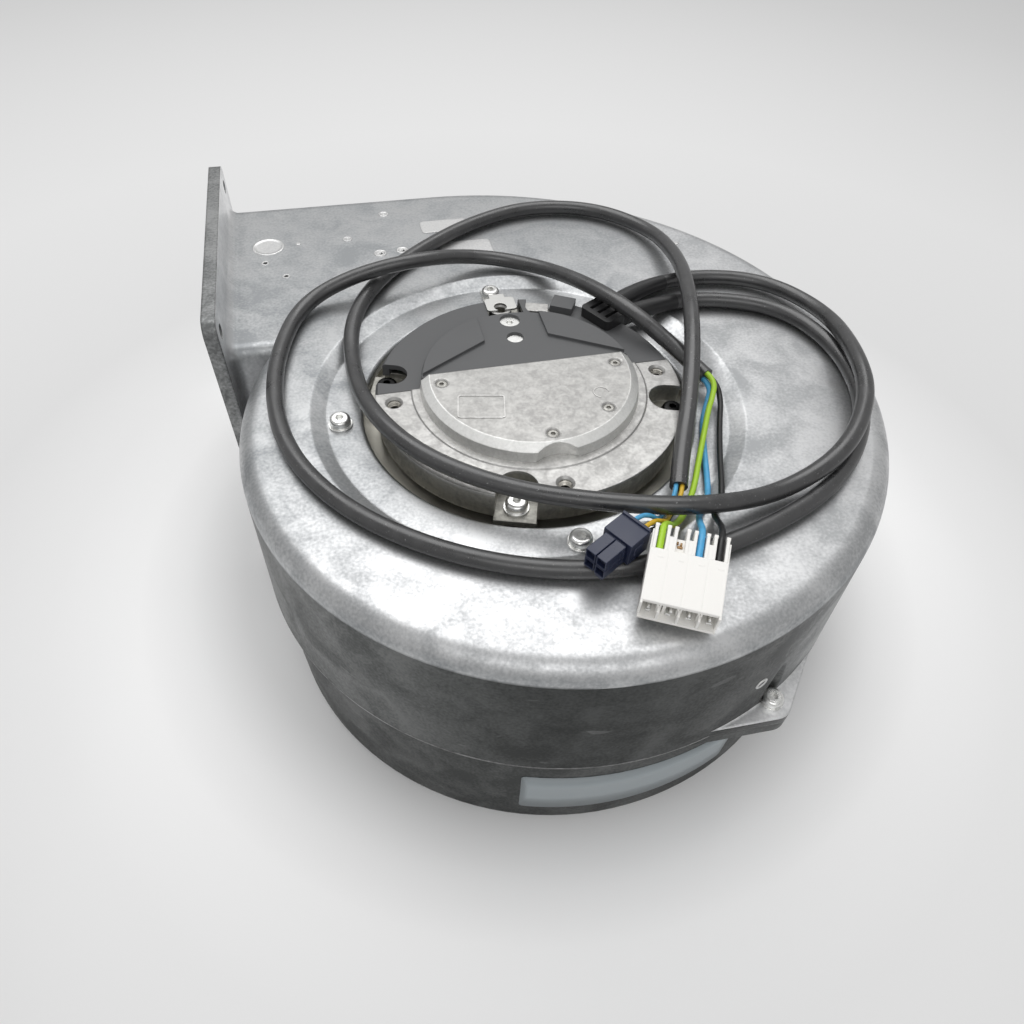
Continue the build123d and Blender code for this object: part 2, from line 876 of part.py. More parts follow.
with BuildPart() as terminal_cover:
    add(
        spun(
            (disc_radius - 4, ring_height - plastic_skin),
            (ring_radius - 2.6, ring_height - plastic_skin),
            (ring_radius - 2.6, plastic_seat),
            (ring_radius, plastic_seat),
            (ring_radius, ring_height - 1),
            (ring_radius - 1, ring_height),
            (disc_radius - 4, ring_height),
        )
    )
    add(
        spun(
            (0, plastic_top - plastic_skin),
            (disc_radius - 3, plastic_top - plastic_skin),
            (disc_radius - 3, ring_height - plastic_skin),
            (disc_radius, ring_height - plastic_skin),
            (disc_radius - 0.6, plastic_top - 0.6),
            (disc_radius - 1.2, plastic_top),
            (0, plastic_top),
        )
    )
    for side in (-1, 1):
        with BuildSketch(Plane.XY.offset(plastic_top)):
            with BuildLine():
                Polyline(
                    (side * panel_side, panel_front),
                    (side * panel_side, 2 * disc_radius),
                    (side * 2 * disc_radius, 2 * disc_radius),
                    (
                        side * 2 * disc_radius,
                        panel_front - (2 * disc_radius - panel_side) * panel_slope,
                    ),
                    close=True,
                )
            make_face()
            Circle(disc_radius - 1.4, mode=Mode.INTERSECT)
        extrude(amount=disc_height - plastic_top - 0.2)
    with Locations((0, split_line + plastic_gap - ring_radius, ring_height)):
        Box(4 * ring_radius, 2 * ring_radius, 40, mode=Mode.SUBTRACT)
    with BuildSketch(Plane.XY.offset(ring_height - plastic_skin)):
        with Locations((0, split_line + plastic_gap + 1)):
            Rectangle(2 * disc_radius - 6, 2)
    extrude(amount=plastic_top - ring_height + 1)
    with Locations(Rot(0, 0, 61) * Pos(54.2, 0, ring_height + 1.5)):
        Box(8.4, 9.5, 3.4)
    add(
        notch(plastic_notch, notch_centre, floor_top, ring_height + 0.1, foot_turns[:2]),
        mode=Mode.SUBTRACT,
    )
    with Locations((1.5, ring_radius - 5.2, ring_height)):
        Box(15, 13, 2 * ring_height - 2 * plastic_seat, mode=Mode.SUBTRACT)
    add(gland_block(0, plastic_seat - 5, disc_height + 5), mode=Mode.SUBTRACT)
    with BuildSketch(Plane.XY.offset(plastic_top)):
        with Locations(terminal_screw_spot):
            Circle(terminal_screw_head)
        with Locations(terminal_hole_spot):
            Circle(terminal_hole_radius)
    extrude(amount=-plastic_skin, mode=Mode.SUBTRACT)
terminal_cover.part.label = "terminal_cover"
export_step(terminal_cover.part, "parts/terminal_cover.step")

with BuildPart() as terminal_screw:
    with BuildSketch(Plane.XY.offset(plastic_top - plastic_skin)):
        with Locations(terminal_screw_spot):
            Circle(terminal_screw_head)
        with Locations(terminal_hole_spot):
            Circle(terminal_hole_radius)
    extrude(amount=1.2)
    with BuildSketch(Plane.XY.offset(plastic_top - 1)):
        with Locations(terminal_screw_spot):
            RegularPolygon(1.4, 6)
    extrude(amount=-0.8, mode=Mode.SUBTRACT)
terminal_screw.part.label = "terminal_screw"
export_step(terminal_screw.part, "parts/terminal_screw.step")

# Bonding strap between the shell and the motor ring
strap_thick = 0.8
with BuildPart() as earth_strap:
    with BuildSketch(Plane.XY.offset(annulus_height)):
        with Locations((-0.6, 70.7)):
            Rectangle(6.8, 12.6)
    extrude(amount=strap_thick)
    with BuildSketch(Plane.YZ):
        with BuildLine():
            Polyline(
                (64.4, annulus_height),
                (65.2, annulus_height),
                (65.2, annulus_height + strap_thick),
                (61.6, ring_height + strap_thick),
                (50.0, ring_height + strap_thick),
                (50.0, ring_height),
                (61.0, ring_height),
                close=True,
            )
        make_face()
    extrude(amount=3.4, both=True)
    with BuildSketch(Plane.XY.offset(ring_height)):
        with Locations((0.5, 54.5)):
            RectangleRounded(13, 9, 1.5)
    extrude(amount=strap_thick)
    with BuildSketch(Plane.XY.offset(ring_height)):
        with Locations(tapped_spots[1]):
            Circle(tapped_radius + 0.3)
    extrude(amount=strap_thick, mode=Mode.SUBTRACT)
    with BuildSketch(Plane.XY.offset(annulus_height)):
        with Locations(support_spots[1]):
            Circle(m4_clearance)
    extrude(amount=strap_thick, mode=Mode.SUBTRACT)
earth_strap.part.label = "earth_strap"
export_step(earth_strap.part, "parts/earth_strap.step")

# Electronics on the motor floor
board_low = floor_top + 1.5
board_thick = 1.6
board_radius = 54.5
board_top = board_low + board_thick
spacer_turns = (27.0, 117.0, 207.0, 297.0)
with BuildPart() as board_spacers:
    with BuildSketch(Plane.XY.offset(floor_top)):
        with Locations(*[turned(46, turn) for turn in spacer_turns]):
            Circle(2.5)
    extrude(amount=board_low - floor_top)
board_spacers.part.label = "board_spacers"
export_step(board_spacers.part, "parts/board_spacers.step")

with BuildPart() as circuit_board:
    with BuildSketch(Plane.XY.offset(board_low)):
        Circle(board_radius)
        Circle(bushing_radius + 1, mode=Mode.SUBTRACT)
        with Locations(*[turned(notch_centre, turn) for turn in foot_turns]):
            Circle(notch_radius + 3, mode=Mode.SUBTRACT)
        with Locations(*tapped_spots):
            Circle(tapped_radius + 2.8, mode=Mode.SUBTRACT)
        with Locations(*cover_screw_spots):
            Circle(post_radius + 0.4, mode=Mode.SUBTRACT)
        with Locations(Pos(*gland_centre) * Rot(0, 0, gland_turn)):
            Rectangle(gland_size[0] + 8, gland_size[1] + 1, mode=Mode.SUBTRACT)
    extrude(amount=board_thick)
circuit_board.part.label = "circuit_board"
export_step(circuit_board.part, "parts/circuit_board.step")

with BuildPart() as capacitors:
    with BuildSketch(Plane.XY.offset(board_top)):
        with Locations(*[turned(25, turn) for turn in (205.0, 235.0, 292.0)]):
            Circle(5)
    extrude(amount=8)
    fillet(capacitors.edges().group_by(Axis.Z)[-1], 0.6)
capacitors.part.label = "capacitors"
export_step(capacitors.part, "parts/capacitors.step")

with BuildPart() as terminal_block:
    with Locations((4, 27, board_top + 3.5)):
        Box(22, 9, 7)
    for step in range(4):
        with Locations((4 - 7.5 + 5 * step, 27, board_top + 7)):
            Cylinder(1.6, 5, mode=Mode.SUBTRACT)
terminal_block.part.label = "terminal_block"
export_step(terminal_block.part, "parts/terminal_block.step")

# Stator pressed on the bearing tube
core_low = 86.0
core_high = 104.0
core_outer = can_radius - can_wall - magnet_thick - air_gap
tooth_width = 4.4
tooth_root = bushing_radius + 5
tooth_tip = 2.6
winding_over = 2.0


def tooth_bars(inner, outer, width, low, high, shift):
    """Radial bars spread evenly round the stator."""
    with BuildPart() as bars:
        with BuildSketch(Plane.XY.offset(low)):
            for step in range(tooth_count):
                turn = 360 / tooth_count * (step + shift)
                with Locations(Rot(0, 0, turn) * Pos((inner + outer) / 2, 0)):
                    Rectangle(outer - inner, width)
        extrude(amount=high - low)
    return bars.part


with BuildPart() as stator_core:
    with BuildSketch(Plane.XY.offset(core_low)):
        Circle(tooth_root)
        Circle(bushing_radius, mode=Mode.SUBTRACT)
    extrude(amount=core_high - core_low)
    with BuildSketch(Plane.XY.offset(core_low)):
        Circle(core_outer)
        Circle(core_outer - tooth_tip, mode=Mode.SUBTRACT)
    extrude(amount=core_high - core_low)
    add(
        tooth_bars(core_outer - 5, core_outer + 5, 3, core_low, core_high, 0.5),
        mode=Mode.SUBTRACT,
    )
    add(tooth_bars(tooth_root - 1, core_outer - 1, tooth_width, core_low, core_high, 0))
stator_core.part.label = "stator_core"
export_step(stator_core.part, "parts/stator_core.step")

with BuildPart() as stator_windings:
    add(
        tooth_bars(
            tooth_root + 2.5,
            core_outer - tooth_tip - 0.5,
            tooth_width + 2 * winding_over,
            core_low - winding_over,
            core_high + winding_over,
            0,
        )
    )
    add(
        tooth_bars(tooth_root, core_outer, tooth_width, core_low, core_high, 0),
        mode=Mode.SUBTRACT,
    )
    fillet(stator_windings.edges().group_by(Axis.Z)[-1], 0.8)
stator_windings.part.label = "stator_windings"
export_step(stator_windings.part, "parts/stator_windings.step")


# Bearings in the tube, with the spacer and the preload spring
def ring_body(inner, outer, low, height):
    """Plain ring from a height upwards."""
    with BuildPart() as body:
        with BuildSketch(Plane.XY.offset(low)):
            Circle(outer)
            Circle(inner, mode=Mode.SUBTRACT)
        extrude(amount=height)
    return body.part


bore_radius = shaft_radius + shaft_seal_gap
with BuildPart() as lower_bearing:
    add(ring_body(bore_radius, bearing_radius, lower_bearing_low, bearing_width))
lower_bearing.part.label = "lower_bearing"
export_step(lower_bearing.part, "parts/lower_bearing.step")

with BuildPart() as bearing_spacer:
    spacer_low = lower_bearing_low + bearing_width
    add(ring_body(bearing_radius - 1.5, bearing_radius, spacer_low, upper_bearing_low - spacer_low))
bearing_spacer.part.label = "bearing_spacer"
export_step(bearing_spacer.part, "parts/bearing_spacer.step")

with BuildPart() as upper_bearing:
    add(ring_body(bore_radius, bearing_radius, upper_bearing_low, bearing_width))
upper_bearing.part.label = "upper_bearing"
export_step(upper_bearing.part, "parts/upper_bearing.step")

with BuildPart() as bearing_spring:
    add(ring_body(shaft_radius + 3, bearing_radius, upper_bearing_low + bearing_width, 0.8))
bearing_spring.part.label = "bearing_spring"
export_step(bearing_spring.part, "parts/bearing_spring.step")

with BuildPart() as shaft_seal:
    add(ring_body(bore_radius, seal_radius, pan_floor_height, pan_wall))
shaft_seal.part.label = "shaft_seal"
export_step(shaft_seal.part, "parts/shaft_seal.step")

# Rotor: shaft, bell with magnets, impeller and its screw
shaft_low = 44.0
shaft_high = upper_bearing_low + bearing_width + 2
hub_radius = 12.0
hub_wall_high = 64.0
plate_thick = 2.0
backplate_top = backplate_height + plate_thick
with BuildPart() as shaft:
    with BuildSketch(Plane.XY.offset(shaft_low)):
        Circle(shaft_radius)
    extrude(amount=shaft_high - shaft_low)
    with BuildSketch(Plane.XY.offset(shaft_low)):
        Circle(m4_shank)
    extrude(amount=backplate_height - shaft_low, mode=Mode.SUBTRACT)
    chamfer(shaft.edges().group_by(Axis.Z)[-1], 0.5)
shaft.part.label = "shaft"
export_step(shaft.part, "parts/shaft.step")

with BuildPart() as rotor_can:
    add(
        spun(
            (shaft_radius, can_floor),
            (can_radius - 3, can_floor),
            (can_radius, can_floor + 3),
            (can_radius, can_top),
            (can_radius - can_wall, can_top),
            (can_radius - can_wall, can_floor + can_wall + 1.5),
            (can_radius - can_wall - 1.5, can_floor + can_wall),
            (hub_radius, can_floor + can_wall),
            (hub_radius, can_floor + 7),
            (shaft_radius, can_floor + 7),
        )
    )
rotor_can.part.label = "rotor_can"
export_step(rotor_can.part, "parts/rotor_can.step")

with BuildPart() as rotor_magnets:
    add(ring_body(can_radius - can_wall - magnet_thick, can_radius - can_wall, 82, 26))
rotor_magnets.part.label = "rotor_magnets"
export_step(rotor_magnets.part, "parts/rotor_magnets.step")

shroud_throat = nozzle_radius + nozzle_wall + 1.2
shroud_thick = 2.0
shroud_inner_height = 17.0
shroud_rim_height = 28.0
shroud_start = shroud_throat + 1.2
with BuildPart() as impeller_backplate:
    add(
        spun(
            (shaft_radius, shaft_low),
            (hub_radius - 3, shaft_low),
            (hub_radius, backplate_height - 4),
            (hub_radius + 4, backplate_height),
            (impeller_radius, backplate_height),
            (impeller_radius, backplate_top),
            (hub_radius, backplate_top),
            (hub_radius, hub_wall_high),
            (shaft_radius, hub_wall_high),
        )
    )
impeller_backplate.part.label = "impeller_backplate"
export_step(impeller_backplate.part, "parts/impeller_backplate.step")

with BuildPart() as impeller_shroud:
    add(
        spun(
            (shroud_throat, shroud_inner_height - 5),
            (shroud_throat + shroud_thick, shroud_inner_height - 5),
            (shroud_throat + shroud_thick, shroud_inner_height - 2),
            (impeller_radius, shroud_rim_height - shroud_thick),
            (impeller_radius, shroud_rim_height),
            (shroud_start, shroud_inner_height),
            (shroud_throat, shroud_inner_height - 0.6),
        )
    )
impeller_shroud.part.label = "impeller_shroud"
export_step(impeller_shroud.part, "parts/impeller_shroud.step")

blade_inner = 54.0
blade_outer = impeller_radius - 0.5
blade_sweep = -35.0
blade_bulge = 6.0
blade_start = Vector(*turned(blade_inner, 0))
blade_end = Vector(*turned(blade_outer, blade_sweep))
blade_chord = blade_end - blade_start
blade_arc = (blade_chord.length**2 / 4 + blade_bulge**2) / (2 * blade_bulge)
blade_side = blade_chord.normalized().rotate(Axis.Z, 90)
blade_middle = (blade_start + blade_end) / 2 + blade_side * blade_bulge
blade_pivot = blade_middle - blade_side * blade_arc
with BuildPart() as impeller_blades:
    with BuildSketch(Plane.XY.offset(shroud_inner_height - 3)) as blade_plan:
        with BuildLine():
            rims = []
            for side in (-0.5, 0.5):
                scale = (blade_arc + side * blade_thick) / blade_arc
                rims.append(
                    ThreePointArc(
                        *[
                            blade_pivot + (spot - blade_pivot) * scale
                            for spot in (blade_start, blade_middle, blade_end)
                        ]
                    )
                )
            Line(rims[0] @ 0, rims[1] @ 0)
            Line(rims[0] @ 1, rims[1] @ 1)
        make_face()
        for step in range(1, blade_count):
            with Locations(Rot(0, 0, 360 / blade_count * step)):
                add(blade_plan.sketch.faces()[0])
    extrude(amount=backplate_height - shroud_inner_height + 3)
    slope = (shroud_rim_height - shroud_inner_height) / (impeller_radius - shroud_start)
    with BuildSketch(Plane.XZ):
        with BuildLine():
            Polyline(
                (0, 0),
                (impeller_radius + 20, 0),
                (impeller_radius + 20, shroud_rim_height + 20 * slope),
                (0, shroud_inner_height - shroud_start * slope),
                close=True,
            )
        make_face()
    revolve(axis=Axis.Z, mode=Mode.SUBTRACT)
impeller_blades.part.label = "impeller_blades"
export_step(impeller_blades.part, "parts/impeller_blades.step")

with BuildPart() as impeller_screw:
    with BuildSketch(Plane.XY.offset(shaft_low - 4)):
        RegularPolygon(4.6, 6)
    extrude(amount=3)
    with BuildSketch(Plane.XY.offset(shaft_low - 1)):
        Circle(8)
    extrude(amount=1)
    with BuildSketch(Plane.XY.offset(shaft_low)):
        Circle(m4_shank)
    extrude(amount=backplate_height - shaft_low - 0.5)
impeller_screw.part.label = "impeller_screw"
export_step(impeller_screw.part, "parts/impeller_screw.step")

clip_turns = (-18.0, 112.9)
with BuildPart() as balance_clips:
    for turn in clip_turns:
        with Locations(Rot(0, 0, turn) * Pos(impeller_radius - 1.5, 0, backplate_top - 1)):
            Box(5, 6, 4)
    add(
        ring_body(0.5, impeller_radius, backplate_height, plate_thick),
        mode=Mode.SUBTRACT,
    )
balance_clips.part.label = "balance_clips"
export_step(balance_clips.part, "parts/balance_clips.step")

# Cables: sheath end first, cable gland last
signal_route = [
    (38.5, -60.5, 126),
    (43.6, -48.3, 128.2),
    (55.7, -24.1, 133.2),
    (68.4, 8.2, 139.2),
    (78.7, 40, 138.5),
    (87, 72.5, 132.5),
    (87, 105.5, 127),
    (66, 130.5, 126.5),
    (33, 138, 126.5),
    (2, 127, 126.5),
    (-24.5, 108.5, 126.5),
    (-48, 86, 126.5),
    (-63, 58.5, 126.5),
    (-66, 26, 124.5),
    (-61.5, -9.7, 132.3),
    (-46.7, -36.2, 133.2),
    (-21.3, -55.8, 132.5),
    (8.1, -68.9, 133.6),
    (38.9, -76.9, 133.6),
    (71.5, -71.5, 127),
    (98.7, -63.3, 134.2),
    (119.9, -39.6, 136.6),
    (128, -15.1, 137.2),
    (138.5, 23, 128.4),
    (124.5, 53.5, 126.5),
    (92, 63.5, 126.5),
    (62, 56, 127),
    (47.5, 45.5, 127),
]
mains_route = [
    (70.3, -7.2, 127.4),
    (64.8, 7.7, 128.6),
    (49, 26.5, 138),
    (37, 55.5, 134.5),
    (23, 84.5, 126.5),
    (-2, 94.5, 128),
    (-30.5, 81.5, 137),
    (-59.5, 80.5, 132.5),
    (-82.5, 72, 126.5),
    (-93.5, 41, 126.5),
    (-96.5, 9, 126.5),
    (-91.5, -20, 126.5),
    (-76.5, -46.5, 126.5),
    (-54, -67.5, 126.5),
    (-27.5, -82.5, 126.5),
    (1.5, -90.5, 126.5),
    (32, -90.5, 126.5),
    (62, -84, 126.5),
    (90, -72.5, 126.5),
    (113, -53, 126.5),
    (128.5, -26.5, 126.5),
    (132.4, 5, 126.5),
    (121.5, 32.5, 126.5),
    (91.5, 45.5, 126.5),
    (63, 43.5, 126.5),
    (49.9, 37.7, 127),
]

# Single wires: sheath end first, plug last
wire_routes = {
    "earth_wire": [
        (70.09, -7.44, 128.97),
        (71.81, -12.08, 128.59),
        (69, -17.8, 125.8),
        (64.5, -24.5, 125.4),
        (59, -34.5, 125),
        (51.4, -48, 124.6),
        (45, -59.8, 124.4),
        (39.6, -67.6, 124.8),
        (34.1, -74.9, 126.8),
        (29.8, -78.5, 129),
        (26.7, -79.8, 134),
        (23.4, -81.9, 138),
        (21.29, -85.73, 139.45),
        (19.29, -89.57, 137.59),
        (17.29, -93.41, 136.54),
    ],
    "neutral_wire": [
        (69.14, -7.59, 126.37),
        (70.85, -12.23, 126),
        (67.2, -18, 122.6),
        (61.8, -27, 121.7),
        (56.8, -41.5, 121.7),
        (51.8, -56.5, 122.2),
        (47, -67.4, 124.2),
        (39.1, -74.5, 126.7),
        (37.4, -79.5, 129.1),
        (36.3, -82.4, 133.8),
        (34.4, -86.5, 137.8),
        (32.07, -91.01, 139.5),
        (29.93, -95.11, 137.59),
        (27.94, -98.95, 136.54),
    ],
    "live_wire": [
        (71.71, -6.68, 126.85),
        (73.42, -11.32, 126.48),
        (72.8, -18.5, 123.6),
        (67.5, -30, 122.8),
        (60.5, -46.5, 123.2),
        (55.2, -60, 124.4),
        (51, -69.5, 124.6),
        (45.7, -74, 126.5),
        (44.2, -79.2, 128.6),
        (43, -83, 133),
        (40.4, -88.1, 137.4),
        (37.58, -93.42, 139.48),
        (35.35, -97.7, 137.63),
        (33.26, -101.72, 136.54),
    ],
    "signal_wire_supply": [
        (39.4, -61.11, 127.04),
        (37.62, -65.35, 126.27),
        (31.2, -71.9, 127),
        (26.8, -77.6, 129.6),
        (22.3, -79.9, 134.2),
        (18.26, -82.4, 136.7),
        (13.18, -85.51, 136.7),
    ],
    "signal_wire_ground": [
        (37.44, -60.29, 127.04),
        (35.67, -64.53, 126.27),
        (29.8, -70.5, 127),
        (24.8, -76.3, 129.5),
        (20.7, -77.4, 134.3),
        (16.06, -78.8, 136.7),
        (10.99, -81.93, 136.7),
    ],
    "signal_wire_speed": [
        (37.57, -59.97, 124.95),
        (35.8, -64.21, 124.18),
        (29.8, -70.6, 124.9),
        (24.8, -76.3, 127.3),
        (20.8, -77.9, 130.9),
        (16.06, -78.8, 132.5),
        (10.99, -81.93, 132.5),
    ],
    "signal_wire_tacho": [
        (39.53, -60.78, 124.95),
        (37.76, -65.03, 124.18),
        (31.2, -72, 124.9),
        (26.9, -77.8, 127.3),
        (22.4, -80.2, 130.8),
        (18.26, -82.4, 132.5),
        (13.18, -85.51, 132.5),
    ],
}


def corner_radii(route):
    """Largest even arc for each corner of a route, from its two runs and its turn."""
    radii = []
    for step in range(1, len(route) - 1):
        before = Vector(*route[step]) - Vector(*route[step - 1])
        after = Vector(*route[step + 1]) - Vector(*route[step])
        half = math.radians(before.get_angle(after)) / 2
        radii.append(0.45 * min(before.length, after.length) / math.tan(half))
    return radii


def cord(name, route, radius):
    """Round cord along straight runs joined by arcs; prints its length and arcs."""
    radii = corner_radii(route)
    with BuildPart() as body:
        with BuildLine() as line:
            path = FilletPolyline(*route, radius=radii)
        with BuildSketch(Plane(origin=path @ 0, z_dir=path % 0)):
            Circle(radius)
        sweep()
    length = sum(edge.length for edge in line.edges())
    section = body.part.volume / (math.pi * radius**2)
    print(name, "length", round(length, 1), "volume length", round(section, 1))
    print(name, "radii", [round(value, 1) for value in radii])
    return body.part


with BuildPart() as signal_cable:
    add(cord("signal_cable", signal_route, cable_radius))
signal_cable.part.label = "signal_cable"
export_step(signal_cable.part, "parts/signal_cable.step")

with BuildPart() as mains_cable:
    add(cord("mains_cable", mains_route, cable_radius))
mains_cable.part.label = "mains_cable"
export_step(mains_cable.part, "parts/mains_cable.step")

for name, route in wire_routes.items():
    thick = signal_wire_radius if name.startswith("signal") else wire_radius
    with BuildPart() as single_wire:
        add(cord(name, route, thick))
    single_wire.part.label = name
    export_step(single_wire.part, "parts/" + name + ".step")

# Rubber gland with a collar for each cable
collar_radius = 3.9
with BuildPart() as cable_gland:
    add(gland_block(0, gland_low, gland_high))
    for route in (signal_route, mains_route):
        tip = Vector(*route[-1])
        inwards = (tip - Vector(*route[-2])).normalized()
        with BuildSketch(Plane(origin=tip, z_dir=inwards)):
            Circle(collar_radius)
        extrude(amount=8)
    with BuildSketch(Plane.XY.offset(gland_high)):
        with Locations(Pos(*gland_centre) * Rot(0, 0, gland_turn)):
            with Locations((1.5, -4.4), (1.5, -0.2), (1.5, 4.0)):
                Rectangle(10, 1.6)
    extrude(amount=-3, mode=Mode.SUBTRACT)
cable_gland.part.label = "cable_gland"
export_step(cable_gland.part, "parts/cable_gland.step")

# White four-pole plug, nose slightly down
mains_heading = math.radians(-117.5)
mains_dip = math.radians(11)
mains_plane = Plane(
    origin=(22.6, -102.7, 137.25),
    x_dir=(
        math.cos(mains_heading) * math.cos(mains_dip),
        math.sin(mains_heading) * math.cos(mains_dip),
        -math.sin(mains_dip),
    ),
    z_dir=(
        math.cos(mains_heading) * math.sin(mains_dip),
        math.sin(mains_heading) * math.sin(mains_dip),
        math.cos(mains_dip),
    ),
)
mains_width = mains_pitch * mains_poles
pole_sides = [mains_pitch * (step - (mains_poles - 1) / 2) for step in range(mains_poles)]
slot_depth = 3.4
cell_depth = 9.0
cell_low = -mains_height + 1.2
cell_high = -1.8
with BuildPart() as mains_plug:
    with BuildSketch(mains_plane):
        Rectangle(mains_length, mains_width)
    extrude(amount=-mains_height)
    fillet(mains_plug.edges().filter_by(Axis((0, 0, 0), mains_plane.z_dir)), 0.6)
    with BuildSketch(mains_plane):
        for side in pole_sides:
            with Locations((-mains_length / 2 + mains_slot / 2, side)):
                Rectangle(mains_slot, 2 * wire_radius + 0.4)
        for step in range(mains_poles - 1):
            with Locations((-mains_length / 2 + 1.8, pole_sides[step] + mains_pitch / 2)):
                Rectangle(3.6, 1.2)
    extrude(amount=-slot_depth, mode=Mode.SUBTRACT)
    with BuildSketch(mains_plane.offset(cell_high)):
        for side in pole_sides:
            with Locations((mains_length / 2 - cell_depth / 2, side)):
                Rectangle(cell_depth, mains_pitch - 1.2)
    extrude(amount=cell_low - cell_high, mode=Mode.SUBTRACT)
mains_plug.part.label = "mains_plug"
export_step(mains_plug.part, "parts/mains_plug.step")

with BuildPart() as mains_plug_contacts:
    with BuildSketch(mains_plane.offset((cell_low + cell_high) / 2 + 0.5)):
        for side in pole_sides:
            with Locations((mains_length / 2 - cell_depth / 2 - 0.6, side)):
                Rectangle(cell_depth - 1.2, 1.6)
    extrude(amount=-1.0)
mains_plug_contacts.part.label = "mains_plug_contacts"
export_step(mains_plug_contacts.part, "parts/mains_plug_contacts.step")

# Dark four-pole plug, two poles over two
signal_heading = math.radians(211.5)
signal_plane = Plane(
    origin=(13.75, -82.7, 134.6),
    x_dir=(math.cos(signal_heading), math.sin(signal_heading), 0),
    z_dir=(0, 0, 1),
)
grip_length = 9.5
grip_width = 11.0
grip_height = 8.9
nose_height = 8.2
signal_cells = [
    (side * signal_pitch / 2, rise * signal_pitch / 2) for side in (-1, 1) for rise in (-1, 1)
]
signal_nose = Plane(
    origin=signal_plane.from_local_coords((signal_length, 0, 0)),
    x_dir=(-math.sin(signal_heading), math.cos(signal_heading), 0),
    z_dir=(math.cos(signal_heading), math.sin(signal_heading), 0),
)
signal_back = Plane(
    origin=signal_plane.origin,
    x_dir=(math.sin(signal_heading), -math.cos(signal_heading), 0),
    z_dir=(-math.cos(signal_heading), -math.sin(signal_heading), 0),
)
with BuildPart() as signal_plug:
    with BuildSketch(signal_plane.offset(-grip_height / 2)):
        with Locations((grip_length / 2, 0)):
            Rectangle(grip_length, grip_width)
    extrude(amount=grip_height)
    with BuildSketch(signal_plane.offset(-nose_height / 2)):
        with Locations((signal_length / 2, 0)):
            Rectangle(signal_length, signal_width)
    extrude(amount=nose_height)
    with BuildSketch(signal_plane.offset(grip_height / 2)):
        with Locations((0.6, 0)):
            Rectangle(1.2, grip_width)
    extrude(amount=0.7)
    with BuildSketch(signal_nose):
        with Locations(*signal_cells):
            RectangleRounded(signal_pitch - 0.9, signal_pitch - 0.9, 0.8)
    extrude(amount=-7, mode=Mode.SUBTRACT)
    with BuildSketch(signal_back):
        with Locations(*signal_cells):
            Circle(signal_wire_radius + 0.2)
    extrude(amount=-2, mode=Mode.SUBTRACT)
signal_plug.part.label = "signal_plug"
export_step(signal_plug.part, "parts/signal_plug.step")

with BuildPart() as signal_plug_contacts:
    with BuildSketch(signal_nose.offset(-7)):
        with Locations(*signal_cells):
            Circle(1.2)
            Circle(0.7, mode=Mode.SUBTRACT)
    extrude(amount=5)
signal_plug_contacts.part.label = "signal_plug_contacts"
export_step(signal_plug_contacts.part, "parts/signal_plug_contacts.step")
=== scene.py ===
import math

import bmesh
import bpy
from mathutils import Matrix, Vector


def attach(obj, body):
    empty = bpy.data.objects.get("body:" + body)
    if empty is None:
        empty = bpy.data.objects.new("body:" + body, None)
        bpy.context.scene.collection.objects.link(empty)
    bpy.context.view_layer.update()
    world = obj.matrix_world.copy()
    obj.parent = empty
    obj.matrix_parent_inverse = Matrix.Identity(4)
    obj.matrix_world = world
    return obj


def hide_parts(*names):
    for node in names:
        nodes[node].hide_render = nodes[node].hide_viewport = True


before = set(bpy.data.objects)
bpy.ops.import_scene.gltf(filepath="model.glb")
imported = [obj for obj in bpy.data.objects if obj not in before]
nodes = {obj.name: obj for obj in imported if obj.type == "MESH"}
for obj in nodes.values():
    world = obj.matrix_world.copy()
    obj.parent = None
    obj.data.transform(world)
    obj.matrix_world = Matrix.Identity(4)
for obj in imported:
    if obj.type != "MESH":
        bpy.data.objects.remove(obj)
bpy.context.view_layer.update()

scene = bpy.context.scene
scene.view_settings.view_transform = "Standard"

# Camera: hand-held in front of the fan, which lies with its inlet down, with a wide lens
# that looks down at the motor side.
camera_place = Vector((-0.0645, -0.2237, 0.3202))
camera_way = Vector((0.17, 0.634, -0.754)).normalized()
camera_roll = math.radians(2.74)
camera_data = bpy.data.cameras.new("camera")
camera_data.lens = 27.15
camera_data.sensor_width = 36
camera_data.clip_start = 0.01
camera = bpy.data.objects.new("camera", camera_data)
scene.collection.objects.link(camera)
level_right = camera_way.cross(Vector((0, 0, 1))).normalized()
level_up = level_right.cross(camera_way)
camera_right = level_right * math.cos(camera_roll) + level_up * math.sin(camera_roll)
camera_up = level_up * math.cos(camera_roll) - level_right * math.sin(camera_roll)
camera.matrix_world = Matrix(
    (
        (camera_right.x, camera_up.x, -camera_way.x, camera_place.x),
        (camera_right.y, camera_up.y, -camera_way.y, camera_place.y),
        (camera_right.z, camera_up.z, -camera_way.z, camera_place.z),
        (0, 0, 0, 1),
    )
)
scene.camera = camera


# Sheathed cables: two black rubber cables, 6.4 mm thick, extruded over stranded wires.
# Both leave the gland side by side and lie in loose loops on the top of the casing.
cable_radius = 0.0032


def fix(finish, socket, value):
    """A fixed value for one socket of the shader."""
    finish.node_tree.nodes["Principled BSDF"].inputs[socket].default_value = value


def new_finish(name, colour, metallic, roughness):
    """A material with its shader, ready for a pattern."""
    finish = bpy.data.materials.new(name)
    finish.use_nodes = True
    fix(finish, "Base Color", (*colour, 1))
    fix(finish, "Metallic", metallic)
    fix(finish, "Roughness", roughness)
    return finish


